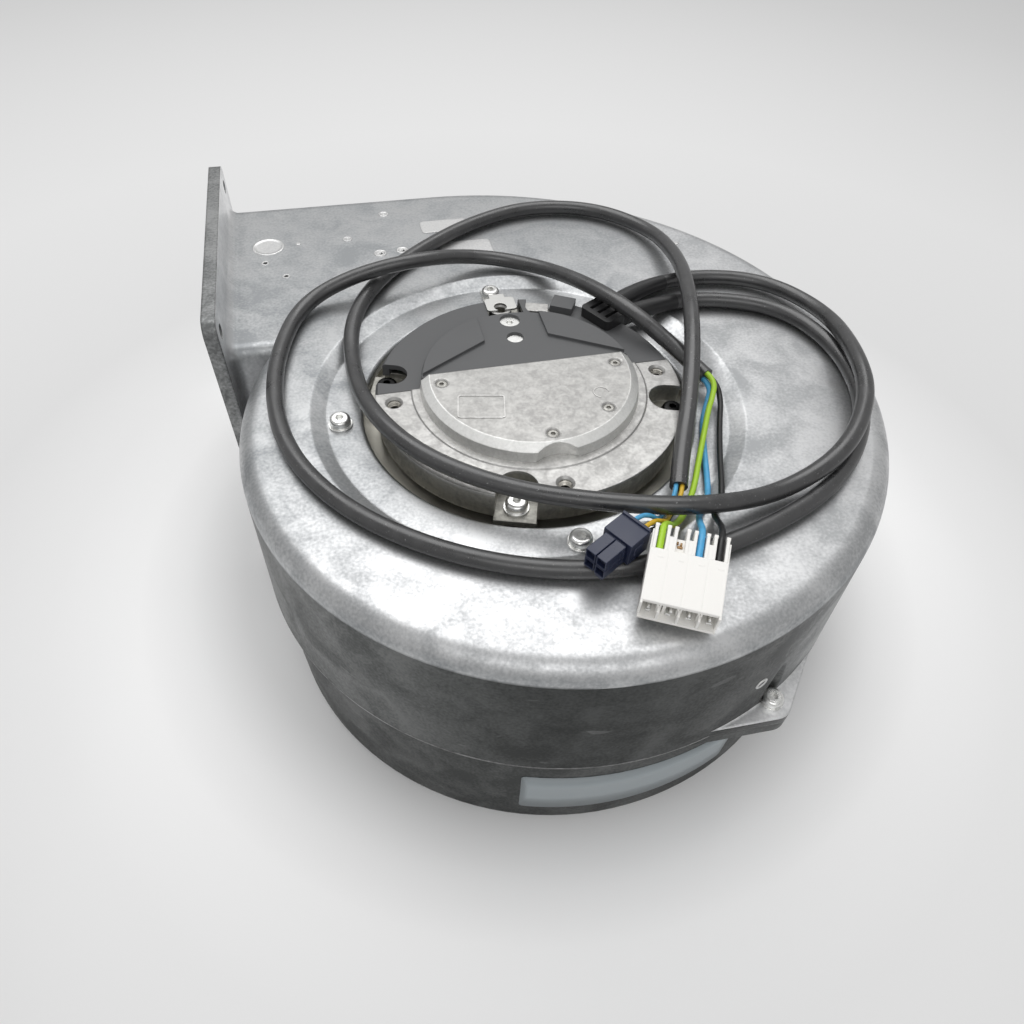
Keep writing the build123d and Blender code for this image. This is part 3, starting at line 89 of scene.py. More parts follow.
def grain(finish, scale, detail=4.0, stretch=(1, 1, 1), distortion=0.0):
    """Noise on the piece's own coordinates; scale is in patches per metre."""
    tree = finish.node_tree
    place = tree.nodes.new("ShaderNodeTexCoord")
    turn = tree.nodes.new("ShaderNodeMapping")
    turn.inputs["Scale"].default_value = stretch
    noise = tree.nodes.new("ShaderNodeTexNoise")
    noise.inputs["Scale"].default_value = scale
    noise.inputs["Detail"].default_value = detail
    noise.inputs["Distortion"].default_value = distortion
    tree.links.new(place.outputs["Object"], turn.inputs["Vector"])
    tree.links.new(turn.outputs["Vector"], noise.inputs["Vector"])
    return noise.outputs["Fac"]


def spread(finish, source, low, high, start=0.35, end=0.65):
    """A value from low to high where the source goes from start to end."""
    node = finish.node_tree.nodes.new("ShaderNodeMapRange")
    node.inputs["From Min"].default_value = start
    node.inputs["From Max"].default_value = end
    node.inputs["To Min"].default_value = low
    node.inputs["To Max"].default_value = high
    finish.node_tree.links.new(source, node.inputs["Value"])
    return node.outputs["Result"]


def tint(finish, source, colours, start=0.3, end=0.7, interpolation="LINEAR"):
    """A colour band over the source, evenly split between the colours."""
    node = finish.node_tree.nodes.new("ShaderNodeValToRGB")
    node.color_ramp.interpolation = interpolation
    stops = node.color_ramp.elements
    while len(stops) < len(colours):
        stops.new(0.5)
    for step, colour in enumerate(colours):
        stops[step].position = start + (end - start) * step / (len(colours) - 1)
        stops[step].color = (*colour, 1)
    finish.node_tree.links.new(source, node.inputs["Fac"])
    return node.outputs["Color"]


def blend_colours(finish, share, first, second, how="MIX"):
    """The first colour where the share is 0, and the second, which may be plain, where it is 1."""
    node = finish.node_tree.nodes.new("ShaderNodeMix")
    node.data_type = "RGBA"
    node.blend_type = how
    finish.node_tree.links.new(share, node.inputs["Factor"])
    finish.node_tree.links.new(first, node.inputs["A"])
    if isinstance(second, tuple):
        node.inputs["B"].default_value = (*second, 1)
    else:
        finish.node_tree.links.new(second, node.inputs["B"])
    return node.outputs["Result"]


def relief(finish, source, height, strength=1.0, before=None):
    """Bump of a height in metres."""
    node = finish.node_tree.nodes.new("ShaderNodeBump")
    node.inputs["Distance"].default_value = height
    node.inputs["Strength"].default_value = strength
    finish.node_tree.links.new(source, node.inputs["Height"])
    if before is not None:
        finish.node_tree.links.new(before, node.inputs["Normal"])
    return node.outputs["Normal"]


def link(finish, source, socket):
    """The source drives one socket of the shader."""
    shader = finish.node_tree.nodes["Principled BSDF"]
    finish.node_tree.links.new(source, shader.inputs[socket])


sheath_rubber = new_finish("sheath_rubber", (0.045, 0.045, 0.046), 0, 0.38)
fix(sheath_rubber, "Specular IOR Level", 1.0)
sheath_patches = grain(sheath_rubber, 160, 6)
sheath_black = tint(sheath_rubber, sheath_patches, [(0.026, 0.026, 0.027), (0.042, 0.042, 0.043)])
sheath_dust = spread(sheath_rubber, grain(sheath_rubber, 1500, 2), 0, 0.8, 0.68, 0.76)
dusty_black = blend_colours(sheath_rubber, sheath_dust, sheath_black, (0.3, 0.3, 0.3))
link(sheath_rubber, dusty_black, "Base Color")
link(sheath_rubber, spread(sheath_rubber, sheath_patches, 0.26, 0.38), "Roughness")
link(sheath_rubber, relief(sheath_rubber, grain(sheath_rubber, 900, 3), 0.00003), "Normal")


def lay_cord(name, route, radius, finish):
    """Smooth cord along the control points of its route."""
    line = bpy.data.curves.new(name, "CURVE")
    line.dimensions = "3D"
    line.bevel_depth = radius
    line.bevel_resolution = 6
    line.use_fill_caps = True
    spline = line.splines.new("NURBS")
    spline.points.add(len(route) - 1)
    for point, spot in zip(spline.points, route):
        point.co = (*spot, 1)
    spline.order_u = 3
    spline.use_endpoint_u = True
    spline.resolution_u = 12
    line.materials.append(finish)
    cord = bpy.data.objects.new(name, line)
    scene.collection.objects.link(cord)
    return cord


signal_cable_route = [
    (0.0385, -0.0605, 0.126),
    (0.0436, -0.0483, 0.1282),
    (0.0557, -0.0241, 0.1332),
    (0.0684, 0.0082, 0.1392),
    (0.0787, 0.04, 0.1385),
    (0.087, 0.0725, 0.1325),
    (0.087, 0.1055, 0.127),
    (0.066, 0.1305, 0.1265),
    (0.033, 0.138, 0.1265),
    (0.002, 0.127, 0.1265),
    (-0.0245, 0.1085, 0.1265),
    (-0.048, 0.086, 0.1265),
    (-0.063, 0.0585, 0.1265),
    (-0.066, 0.026, 0.1245),
    (-0.0615, -0.0097, 0.1323),
    (-0.0467, -0.0362, 0.1332),
    (-0.0213, -0.0558, 0.1325),
    (0.0081, -0.0689, 0.1336),
    (0.0389, -0.0769, 0.1336),
    (0.0715, -0.0715, 0.127),
    (0.0987, -0.0633, 0.1342),
    (0.1199, -0.0396, 0.1366),
    (0.128, -0.0151, 0.1372),
    (0.1385, 0.023, 0.1284),
    (0.1245, 0.0535, 0.1265),
    (0.092, 0.0635, 0.1265),
    (0.062, 0.056, 0.127),
    (0.0475, 0.0455, 0.127),
]
mains_cable_route = [
    (0.0703, -0.0072, 0.1274),
    (0.0648, 0.0077, 0.1286),
    (0.049, 0.0265, 0.138),
    (0.037, 0.0555, 0.1345),
    (0.023, 0.0845, 0.1265),
    (-0.002, 0.0945, 0.128),
    (-0.0305, 0.0815, 0.137),
    (-0.0595, 0.0805, 0.1325),
    (-0.0825, 0.072, 0.1265),
    (-0.0935, 0.041, 0.1265),
    (-0.0965, 0.009, 0.1265),
    (-0.0915, -0.02, 0.1265),
    (-0.0765, -0.0465, 0.1265),
    (-0.054, -0.0675, 0.1265),
    (-0.0275, -0.0825, 0.1265),
    (0.0015, -0.0905, 0.1265),
    (0.032, -0.0905, 0.1265),
    (0.062, -0.084, 0.1265),
    (0.09, -0.0725, 0.1265),
    (0.113, -0.053, 0.1265),
    (0.1285, -0.0265, 0.1265),
    (0.1324, 0.005, 0.1265),
    (0.1215, 0.0325, 0.1265),
    (0.0915, 0.0455, 0.1265),
    (0.063, 0.0435, 0.1265),
    (0.0499, 0.0377, 0.127),
]
signal_cable = lay_cord("signal_cable_sheath", signal_cable_route, cable_radius, sheath_rubber)
mains_cable = lay_cord("mains_cable_sheath", mains_cable_route, cable_radius, sheath_rubber)
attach(signal_cable, "housing")
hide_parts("signal_cable")
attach(mains_cable, "housing")
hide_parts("mains_cable")

# Single wires: stranded copper in coloured PVC, 2.2 mm for the mains and 1.6 mm for the signals.
# They fan out of the cut sheath and are crimped into the plugs.
mains_wire_radius = 0.0011
signal_wire_radius = 0.0008


def wire_finish(name, colour):
    """Glossy insulation with a slight unevenness."""
    finish = new_finish(name, colour, 0, 0.34)
    patches = grain(finish, 300, 3)
    darker = tuple(0.8 * part for part in colour)
    link(finish, tint(finish, patches, [darker, colour]), "Base Color")
    link(finish, spread(finish, patches, 0.29, 0.44), "Roughness")
    return finish


def read_place(finish, kind):
    """Object coordinates, UV map or normal of the piece, taken apart."""
    tree = finish.node_tree
    place = tree.nodes.new("ShaderNodeTexCoord")
    apart = tree.nodes.new("ShaderNodeSeparateXYZ")
    tree.links.new(place.outputs[kind], apart.inputs["Vector"])
    return apart.outputs


wire_black = wire_finish("wire_black", (0.012, 0.012, 0.013))
wire_blue = wire_finish("wire_blue", (0.1, 0.46, 0.8))
wire_yellow = wire_finish("wire_yellow", (0.8, 0.5, 0.03))
wire_white = wire_finish("wire_white", (0.8, 0.8, 0.78))
wire_earth = wire_finish("wire_earth", (0.46, 0.68, 0.04))
round_wire = read_place(wire_earth, "UV")["Y"]
earth_stripes = [(0.42, 0.68, 0.04), (0.8, 0.72, 0.04)]
link(wire_earth, tint(wire_earth, round_wire, earth_stripes, 0, 0.7, "CONSTANT"), "Base Color")
earth_wire_route = [
    (0.07009, -0.00744, 0.12897),
    (0.07181, -0.01208, 0.12859),
    (0.069, -0.0178, 0.1258),
    (0.0645, -0.0245, 0.1254),
    (0.059, -0.0345, 0.125),
    (0.0514, -0.048, 0.1246),
    (0.045, -0.0598, 0.1244),
    (0.0396, -0.0676, 0.1248),
    (0.0341, -0.0747, 0.126),
    (0.0291, -0.0783, 0.128),
    (0.0264, -0.0803, 0.1318),
    (0.0237, -0.0828, 0.1354),
    (0.02129, -0.08573, 0.1382),
    (0.01929, -0.08957, 0.1372),
    (0.01729, -0.09341, 0.1364),
]
neutral_wire_route = [
    (0.06914, -0.00759, 0.12637),
    (0.07085, -0.01223, 0.126),
    (0.0672, -0.018, 0.1226),
    (0.0618, -0.027, 0.1217),
    (0.0568, -0.0415, 0.1217),
    (0.0518, -0.0565, 0.1222),
    (0.047, -0.0674, 0.1242),
    (0.0401, -0.0745, 0.1267),
    (0.038, -0.0795, 0.1289),
    (0.0362, -0.083, 0.1322),
    (0.0343, -0.087, 0.1356),
    (0.03207, -0.09101, 0.1383),
    (0.02993, -0.09511, 0.1373),
    (0.02794, -0.09895, 0.1364),
]
live_wire_route = [
    (0.07171, -0.00668, 0.12685),
    (0.07342, -0.01132, 0.12648),
    (0.0728, -0.0185, 0.1236),
    (0.0675, -0.03, 0.1228),
    (0.0605, -0.0465, 0.1232),
    (0.0552, -0.06, 0.1244),
    (0.051, -0.0695, 0.1246),
    (0.0457, -0.074, 0.1265),
    (0.0442, -0.0792, 0.1285),
    (0.0428, -0.0838, 0.1318),
    (0.0403, -0.089, 0.1355),
    (0.03758, -0.09342, 0.1383),
    (0.03535, -0.0977, 0.1373),
    (0.03326, -0.10172, 0.1364),
]
signal_wire_supply_route = [
    (0.0394, -0.06111, 0.12704),
    (0.03762, -0.06535, 0.12627),
    (0.0312, -0.0719, 0.127),
    (0.0268, -0.0776, 0.1296),
    (0.0223, -0.0799, 0.1342),
    (0.01826, -0.0824, 0.1367),
    (0.01318, -0.08551, 0.1367),
]
signal_wire_ground_route = [
    (0.03744, -0.06029, 0.12704),
    (0.03567, -0.06453, 0.12627),
    (0.0298, -0.0705, 0.127),
    (0.0248, -0.0763, 0.1295),
    (0.0207, -0.0774, 0.1343),
    (0.01606, -0.0788, 0.1367),
    (0.01099, -0.08193, 0.1367),
]
signal_wire_speed_route = [
    (0.03757, -0.05997, 0.12495),
    (0.0358, -0.06421, 0.12418),
    (0.0298, -0.0706, 0.1249),
    (0.0248, -0.0763, 0.1273),
    (0.0208, -0.0779, 0.1309),
    (0.01606, -0.0788, 0.1325),
    (0.01099, -0.08193, 0.1325),
]
signal_wire_tacho_route = [
    (0.03953, -0.06078, 0.12495),
    (0.03776, -0.06503, 0.12418),
    (0.0312, -0.072, 0.1249),
    (0.0269, -0.0778, 0.1273),
    (0.0224, -0.0802, 0.1308),
    (0.01826, -0.0824, 0.1325),
    (0.01318, -0.08551, 0.1325),
]
wires = {}
for name, route, radius, finish in (
    ("earth_wire", earth_wire_route, mains_wire_radius, wire_earth),
    ("neutral_wire", neutral_wire_route, mains_wire_radius, wire_blue),
    ("live_wire", live_wire_route, mains_wire_radius, wire_black),
    ("signal_wire_supply", signal_wire_supply_route, signal_wire_radius, wire_yellow),
    ("signal_wire_ground", signal_wire_ground_route, signal_wire_radius, wire_blue),
    ("signal_wire_speed", signal_wire_speed_route, signal_wire_radius, wire_white),
    ("signal_wire_tacho", signal_wire_tacho_route, signal_wire_radius, wire_black),
):
    wires[name] = lay_cord(name + "_core", route, radius, finish)
    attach(wires[name], "housing")
    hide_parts(name)

# White mains plug: injection-moulded nylon with four poles side by side, nose slightly down.
# Its rear edge is castellated round the wires, and its nose is four open cells over a longer floor.
mm = 0.001


def dress(finish, *names):
    """Gives a finish to CAD nodes."""
    for name in names:
        for place in nodes[name].material_slots:
            place.material = finish


def soft_edges(finish, radius):
    """Normal that rounds sharp edges by a radius in metres."""
    node = finish.node_tree.nodes.new("ShaderNodeBevel")
    node.samples = 6
    node.inputs["Radius"].default_value = radius
    return node.outputs["Normal"]


def moulded(name, colour, roughness, fleck=0.9):
    """Moulded plastic: faint flow marks, a fine eroded skin and rounded edges."""
    finish = new_finish(name, colour, 0, roughness)
    flow = grain(finish, 45, 5, distortion=0.8)
    darker = tuple(fleck * part for part in colour)
    link(finish, tint(finish, flow, [darker, colour]), "Base Color")
    link(finish, spread(finish, flow, roughness - 0.06, roughness + 0.08), "Roughness")
    skin = grain(finish, 1800, 2)
    link(finish, relief(finish, skin, 0.00003, 0.6, soft_edges(finish, 0.0003)), "Normal")
    return finish


def metal(name, colour, roughness, scale=120, shade=0.88, edge=0.0004, height=0.000004):
    """Bare metal: patches of oxide, a fine tooth and rounded edges."""
    finish = new_finish(name, colour, 1, roughness)
    patches = grain(finish, scale, 6, distortion=0.4)
    darker = tuple(shade * part for part in colour)
    link(finish, tint(finish, patches, [darker, colour]), "Base Color")
    link(finish, spread(finish, patches, roughness + 0.08, roughness - 0.05), "Roughness")
    tooth = grain(finish, 1500, 2)
    link(finish, relief(finish, tooth, height, 1, soft_edges(finish, edge)), "Normal")
    return finish


def plug_frame(origin, heading, dip):
    """Matrix from a plug's own millimetres (nose, side, up) to the model."""
    turn = math.radians(heading)
    fall = math.radians(dip)
    nose = Vector(
        (math.cos(turn) * math.cos(fall), math.sin(turn) * math.cos(fall), -math.sin(fall))
    )
    up = Vector((math.cos(turn) * math.sin(fall), math.sin(turn) * math.sin(fall), math.cos(fall)))
    side = up.cross(nose)
    axes = Matrix((nose, side, up)).transposed().to_4x4()
    return Matrix.Translation(Vector(origin) * mm) @ axes @ Matrix.Scale(mm, 4)


def bar(shape, low, high, frame_of=Matrix.Identity(4)):
    """Rectangular bar between two corners; returns its faces."""
    size = Vector(high) - Vector(low)
    middle = (Vector(high) + Vector(low)) / 2
    matrix = frame_of @ Matrix.Translation(middle) @ Matrix.Diagonal((*size, 1))
    made = bmesh.ops.create_cube(shape, size=1, matrix=matrix)
    return list({face for vert in made["verts"] for face in vert.link_faces})


def hollow(shape, faces, way, wall, depth):
    """Sinks a cell into the face of a bar that looks along a direction."""
    front = max(faces, key=lambda face: face.calc_center_median().dot(way))
    bmesh.ops.inset_region(shape, faces=[front], thickness=wall, use_even_offset=True)
    pushed = bmesh.ops.extrude_discrete_faces(shape, faces=[front])["faces"]
    corners = list(pushed[0].verts)
    bmesh.ops.translate(shape, verts=corners, vec=-depth * way)


def round_off(shape, parts, offset, segments=2, affect="EDGES"):
    """Rounds edges, or the corners of a flat outline, by an offset in metres."""
    bmesh.ops.bevel(
        shape,
        geom=parts,
        affect=affect,
        offset=offset,
        segments=segments,
        profile=0.5,
        material=-1,
    )


def add_piece(name, shape, finish, smooth=False):
    """Makes a piece of a bmesh and lets it ride on the housing."""
    bmesh.ops.remove_doubles(shape, verts=shape.verts, dist=0.000001)
    bmesh.ops.recalc_face_normals(shape, faces=shape.faces)
    for face in shape.faces:
        face.smooth = smooth
    mesh = bpy.data.meshes.new(name)
    shape.to_mesh(mesh)
    shape.free()
    mesh.materials.append(finish)
    piece = bpy.data.objects.new(name, mesh)
    scene.collection.objects.link(piece)
    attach(piece, "housing")
    return piece


white_nylon = moulded("white_nylon", (0.97, 0.955, 0.92), 0.36, 0.97)
tinned_contact = metal("tinned_contact", (0.9, 0.9, 0.88), 0.24, 150)
mains_frame = plug_frame((22.6, -102.7, 137.25), -117.5, 11)
mains_nose = (mains_frame.to_3x3() @ Vector((1, 0, 0))).normalized()
plug_shape = bmesh.new()
for pole in (-9, -3, 3, 9):
    # A cell, the bed of its wire behind it, and the two posts beside the wire.
    cell_block = bar(plug_shape, (-5.5, pole - 2.85, -8.6), (12.2, pole + 2.85, 0), mains_frame)
    hollow(plug_shape, cell_block, mains_nose, 0.6 * mm, 8.5 * mm)
    bar(plug_shape, (-11.5, pole - 1.4, -8.5), (-5.4, pole + 1.4, -3.6), mains_frame)
    for edge in (-1, 1):
        left, right = sorted((pole + edge * 1.35, pole + edge * 2.4))
        bar(plug_shape, (-13.9, left, -8.4), (-5.4, right, -0.1), mains_frame)
        bar(plug_shape, (-14.4, left - 0.1, -4.2), (-13.2, right + 0.1, -0.05), mains_frame)
# The roof over the cells, and the key inside one of them.
bar(plug_shape, (-5.6, -11.7, -1.4), (12.3, 11.7, 0.03), mains_frame)
bar(plug_shape, (4.5, -4.9, -7.6), (11.9, -3.9, -2.2), mains_frame)
for gap in (-6, 0, 6):
    # Webs between two poles, at the rear and at the nose.
    bar(plug_shape, (-10.6, gap - 0.75, -8.3), (-5.0, gap + 0.75, -0.15), mains_frame)
    bar(plug_shape, (11.0, gap - 0.4, -8.3), (14.2, gap + 0.4, -2.6), mains_frame)
# The block of the pole that has no wire.
bar(plug_shape, (-10.9, -5.0, -8.4), (-5.4, -1.0, -1.6), mains_frame)
for side in (-1, 1):
    # The side wall, and the latch on it with its thinner tip.
    wall, latch, tip = side * 11.45, side * 11.55, side * 11.6
    bar(plug_shape, (-5.5, wall - 0.4, -8.6), (13.4, wall + 0.4, -0.02), mains_frame)
    bar(plug_shape, (-12.4, latch - 0.42, -6.4), (-2.0, latch + 0.42, -0.6), mains_frame)
    bar(plug_shape, (-2.0, tip - 0.3, -5.6), (2.6, tip + 0.3, -1.4), mains_frame)
# The long floor, and four low ticks on the roof.
bar(plug_shape, (-11.6, -11.6, -8.6), (14.5, 11.6, -7.5), mains_frame)
for spot in (-8.3, -2.2, 4.0, 9.8):
    bar(plug_shape, (-3.1, spot - 0.9, -0.2), (-2.5, spot + 0.9, 0.1), mains_frame)
round_off(plug_shape, plug_shape.edges[:], 0.16 * mm)
mains_plug = add_piece("mains_plug_housing", plug_shape, white_nylon)
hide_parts("mains_plug")
dress(tinned_contact, "mains_plug_contacts")

# Contacts of the white plug: a silvered pin in each open cell, and a bare crimp barrel
# of brass strip in the pole that has no wire.
pin_shape = bmesh.new()
for pole in (-9, -2.4, 3, 9):
    bmesh.ops.create_cone(
        pin_shape,
        cap_ends=True,
        segments=16,
        radius1=0.62,
        radius2=0.5,
        depth=9.4,
        matrix=mains_frame
        @ Matrix.Translation((8.7, pole, -2.6))
        @ Matrix.Rotation(math.pi / 2, 4, "Y"),
    )
add_piece("mains_plug_pins", pin_shape, tinned_contact)

crimp_brass = metal("crimp_brass", (0.42, 0.27, 0.14), 0.42, 700, 0.6)
crimp_shape = bmesh.new()
for low, high in (
    ((-9.6, -4.2, -2.2), (-8.8, -3.6, -0.9)),
    ((-9.4, -3.1, -2.2), (-8.4, -2.5, -0.8)),
    ((-8.4, -3.9, -2.2), (-7.6, -2.2, -1.2)),
):
    bar(crimp_shape, low, high, mains_frame)
round_off(crimp_shape, crimp_shape.edges[:], 0.12 * mm)
add_piece("mains_plug_crimps", crimp_shape, crimp_brass)

# Dark signal plug: navy nylon, a grip with a raised lip and four square tubes, two over two.
# One lower tube carries a foot that keys it in its socket.
navy_nylon = moulded("navy_nylon", (0.02, 0.027, 0.062), 0.3)
signal_frame = plug_frame((13.75, -82.7, 134.6), 211.5, 0)
signal_nose = (signal_frame.to_3x3() @ Vector((1, 0, 0))).normalized()
tube_offset = 4.2 / 2
tube_half = 1.95
plug_shape = bmesh.new()
for low, high in (
    ((0, -5.5, -4.45), (9.5, 5.5, 4.45)),  # grip
    ((0, -5.5, 4.3), (1.1, 5.5, 5.15)),  # raised lip of the grip
    ((9.3, -3.4, -3.4), (17.6, 3.4, 3.4)),  # core that joins the tubes
    ((14.2, 0.6, -5.1), (19.3, 3.5, -3.8)),  # foot of one lower tube
    ((3.2, 5.3, -1.6), (7.4, 5.85, 1.8)),  # pad on the side of the grip
):
    bar(plug_shape, low, high, signal_frame)
for side in (-tube_offset, tube_offset):
    for rise in (-tube_offset, tube_offset):
        tube = bar(
            plug_shape,
            (10.2, side - tube_half, rise - tube_half),
            (19.4, side + tube_half, rise + tube_half),
            signal_frame,
        )
        hollow(plug_shape, tube, signal_nose, 0.45 * mm, 7 * mm)
round_off(plug_shape, plug_shape.edges[:], 0.18 * mm)
signal_plug = add_piece("signal_plug_housing", plug_shape, navy_nylon)
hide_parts("signal_plug")
dress(tinned_contact, "signal_plug_contacts")

# Lower half of the casing: die-cast aluminium, left raw, with drag marks and fine scuffs from
# handling.
# # Its front wall is painted very dark as shade, and the walls facing away and the underside are
# paler.


def weigh(finish, first, second, share):
    """Weighted sum of two values."""
    node = finish.node_tree.nodes.new("ShaderNodeMix")
    node.inputs["Factor"].default_value = share
    finish.node_tree.links.new(first, node.inputs["A"])
    finish.node_tree.links.new(second, node.inputs["B"])
    return node.outputs["Result"]


def die_cast(name, dark, pale, roughness, patch=60, edge=0.0006, layers=()):
    """Raw die-cast aluminium: soft patches, a fine grain, straight scuffs and rounded edges."""
    finish = new_finish(name, pale, 0.94, roughness)
    clouds = grain(finish, patch, 7, distortion=0.8)
    broad = grain(finish, patch / 4, 3)
    speckle = grain(finish, 900, 3)
    mottle = weigh(finish, weigh(finish, clouds, broad, 0.35), speckle, 0.3)
    middle = tuple((low + high) / 2 for low, high in zip(dark, pale))
    skin = tint(finish, mottle, [dark, middle, pale], 0.4, 0.6)
    for layer in layers:
        share, low, high = layer(finish)
        between = tuple((part + whole) / 2 for part, whole in zip(low, high))
        worn = tint(finish, mottle, [low, between, high], 0.4, 0.6)
        skin = blend_colours(finish, share, skin, worn)
    scuffs = grain(finish, 60, 2, stretch=(1, 0.05, 3), distortion=0.2)
    scuff_line = spread(finish, scuffs, 0.0, 0.3, 0.71, 0.75)
    scuffed = blend_colours(finish, scuff_line, skin, (0.2, 0.2, 0.2), "ADD")
    link(finish, scuffed, "Base Color")
    link(finish, spread(finish, mottle, roughness + 0.08, roughness - 0.06, 0.4, 0.6), "Roughness")
    fine = relief(finish, speckle, 0.00003, 0.7, soft_edges(finish, edge))
    link(finish, relief(finish, clouds, 0.0002, 0.3, fine), "Normal")
    return finish


def combine(finish, how, first, second):
    """Sum, product or larger one of two values."""
    node = finish.node_tree.nodes.new("ShaderNodeMath")
    node.operation = how
    finish.node_tree.links.new(first, node.inputs[0])
    finish.node_tree.links.new(second, node.inputs[1])
    return node.outputs["Value"]


def far_wall(finish):
    """Walls that face away from the front, and the duct, paler than the front wall, which is
    painted dark as shade.
    """
    away = spread(finish, read_place(finish, "Normal")["Y"], 0, 1, -0.25, 0.1)
    duct = spread(finish, read_place(finish, "Object")["Y"], 0, 1, 0.03, 0.06)
    return combine(finish, "MAXIMUM", away, duct), (0.2, 0.205, 0.21), (0.34, 0.345, 0.35)


def inlet_face(finish):
    """The flat underside with the inlet, as pale as the top."""
    share = spread(finish, read_place(finish, "Normal")["Z"], 1, 0, -0.9, -0.6)
    return share, (0.34, 0.35, 0.36), (0.55, 0.557, 0.56)


machined_dark = (0.7, 0.705, 0.71)
machined_pale = (0.93, 0.932, 0.935)


def flange_face(finish):
    """Machined faces of the outlet flange."""
    share = spread(finish, read_place(finish, "Object")["X"], 1, 0, -0.1136, -0.111)
    return share, machined_dark, machined_pale


def flange_edge(finish):
    """The raw edge all round the flange, dull and coarse."""
    flange = spread(finish, read_place(finish, "Object")["X"], 1, 0, -0.1139, -0.1136)
    turned = read_place(finish, "Normal")["X"]
    not_in = spread(finish, turned, 1, 0, 0.5, 0.8)
    not_out = spread(finish, turned, 0, 1, -0.8, -0.5)
    edge = combine(finish, "MULTIPLY", flange, combine(finish, "MULTIPLY", not_in, not_out))
    return edge, (0.16, 0.165, 0.165), (0.4, 0.405, 0.405)


# The dark base colours are painted shade of the front wall. The layers make the walls facing away,
# the underside and the flange paler.
cast_lower = die_cast(
    "cast_lower",
    (0.05, 0.053, 0.052),
    (0.098, 0.102, 0.1),
    0.46,
    layers=(far_wall, inlet_face, flange_face, flange_edge),
)
dress(cast_lower, "inlet_side_housing")

# Sticker of the lower half: a blank strip of pale plastic film, bonded round its wall. It follows
# the first two arcs of the scroll and the wall's draft, which draws in 2 mm below the joint.
sticker_film = moulded("sticker_film", (0.36, 0.4, 0.42), 0.42, 0.95)
joint_height = 60
joint_step = 0.7
wall_draft = 2.0
scroll_reach = 122
sticker_turn = math.radians(251.5)
sticker_gap = 0.12
sticker_shape = bmesh.new()
strip = []
for height in (15, 25, 35, 46):
    inset = joint_step + wall_draft * (joint_height - height) / joint_height
    reach = (scroll_reach - inset + sticker_gap) * mm
    spot = (
        0.0106 + reach * math.cos(sticker_turn),
        -0.0031 + reach * math.sin(sticker_turn),
        height * mm,
    )
    strip.append(sticker_shape.verts.new(spot))
strip += [sticker_shape.edges.new(pair) for pair in zip(strip, strip[1:])]
for centre, sweep in (((0.0106, -0.0031, 0), 18.5), ((0.0106, 0.0069, 0), 21.5)):
    strip = bmesh.ops.spin(
        sticker_shape,
        geom=strip,
        cent=centre,
        axis=(0, 0, 1),
        angle=math.radians(sweep),
        steps=12,
    )["geom_last"]
corners = [spot for spot in sticker_shape.verts if len(spot.link_edges) == 2]
round_off(sticker_shape, corners, 1.8 * mm, 4, "VERTICES")
bmesh.ops.recalc_face_normals(sticker_shape, faces=sticker_shape.faces)
bmesh.ops.solidify(sticker_shape, geom=sticker_shape.faces[:], thickness=0.1 * mm)
add_piece("inlet_side_housing_sticker", sticker_shape, sticker_film, True)

# Joint cord: round cord of dark silicone rubber in the groove of the lower half, which the
# upper half presses flat.
seal_rubber = moulded("seal_rubber", (0.06, 0.06, 0.06), 0.6)
dress(seal_rubber, "housing_seal")

# Inlet nozzle: a ring spun from aluminium sheet, which leads the air into the impeller.
# It lies flush in the lower half and is held by six countersunk screws.
spun_aluminium = metal("spun_aluminium", (0.66, 0.67, 0.68), 0.34, 90)
zinc_steel = metal("zinc_steel", (0.88, 0.88, 0.86), 0.27, 160)
dress(spun_aluminium, "inlet_ring")
dress(zinc_steel, "inlet_screws")

# Impeller: pressed aluminium discs and eleven curved blades, held on the shaft by one screw.
# It is balanced with clips of spring steel.
wheel_aluminium = metal("wheel_aluminium", (0.6, 0.61, 0.62), 0.36, 70)
spring_steel = metal("spring_steel", (0.5, 0.5, 0.5), 0.3, 300)
dress(wheel_aluminium, "impeller_backplate", "impeller_blades", "impeller_shroud")
dress(spring_steel, "balance_clips")
dress(zinc_steel, "impeller_screw")

# Shaft, its two ball bearings, the spacer and the spring: ground and hardened steel.
# They sit in the bearing tube of the motor, with a rubber seal round the shaft.
ground_steel = metal("ground_steel", (0.58, 0.58, 0.57), 0.2, 160)
dress(ground_steel, "shaft", "lower_bearing", "upper_bearing", "bearing_spacer")
dress(spring_steel, "bearing_spring")
dress(seal_rubber, "shaft_seal")

# Rotor bell: deep-drawn steel, painted black outside, which turns with the impeller.
# A ring of ferrite magnets is bonded in it.
bell_paint = moulded("bell_paint", (0.03, 0.03, 0.032), 0.38)
ferrite = moulded("ferrite", (0.05, 0.05, 0.052), 0.55)
dress(bell_paint, "rotor_can")
dress(ferrite, "rotor_magnets")

# Stator: a stack of electrical steel sheets with twelve teeth, held on the bearing tube.
# Each tooth is wound with enamelled copper.
stacked_steel = metal("stacked_steel", (0.3, 0.31, 0.33), 0.42, 200)
copper_wire = metal("copper_wire", (0.72, 0.28, 0.1), 0.3, 700)
dress(stacked_steel, "stator_core")
dress(copper_wire, "stator_windings")

# Support pan: deep-drawn sheet under the opening of the upper half, with an olive passivation.
# Bright pan-head screws on washers clamp it.
pan_sheet = metal("pan_sheet", (0.66, 0.64, 0.57), 0.42, 80)
dress(pan_sheet, "motor_support_plate")
dress(zinc_steel, "support_screws", "support_washers")
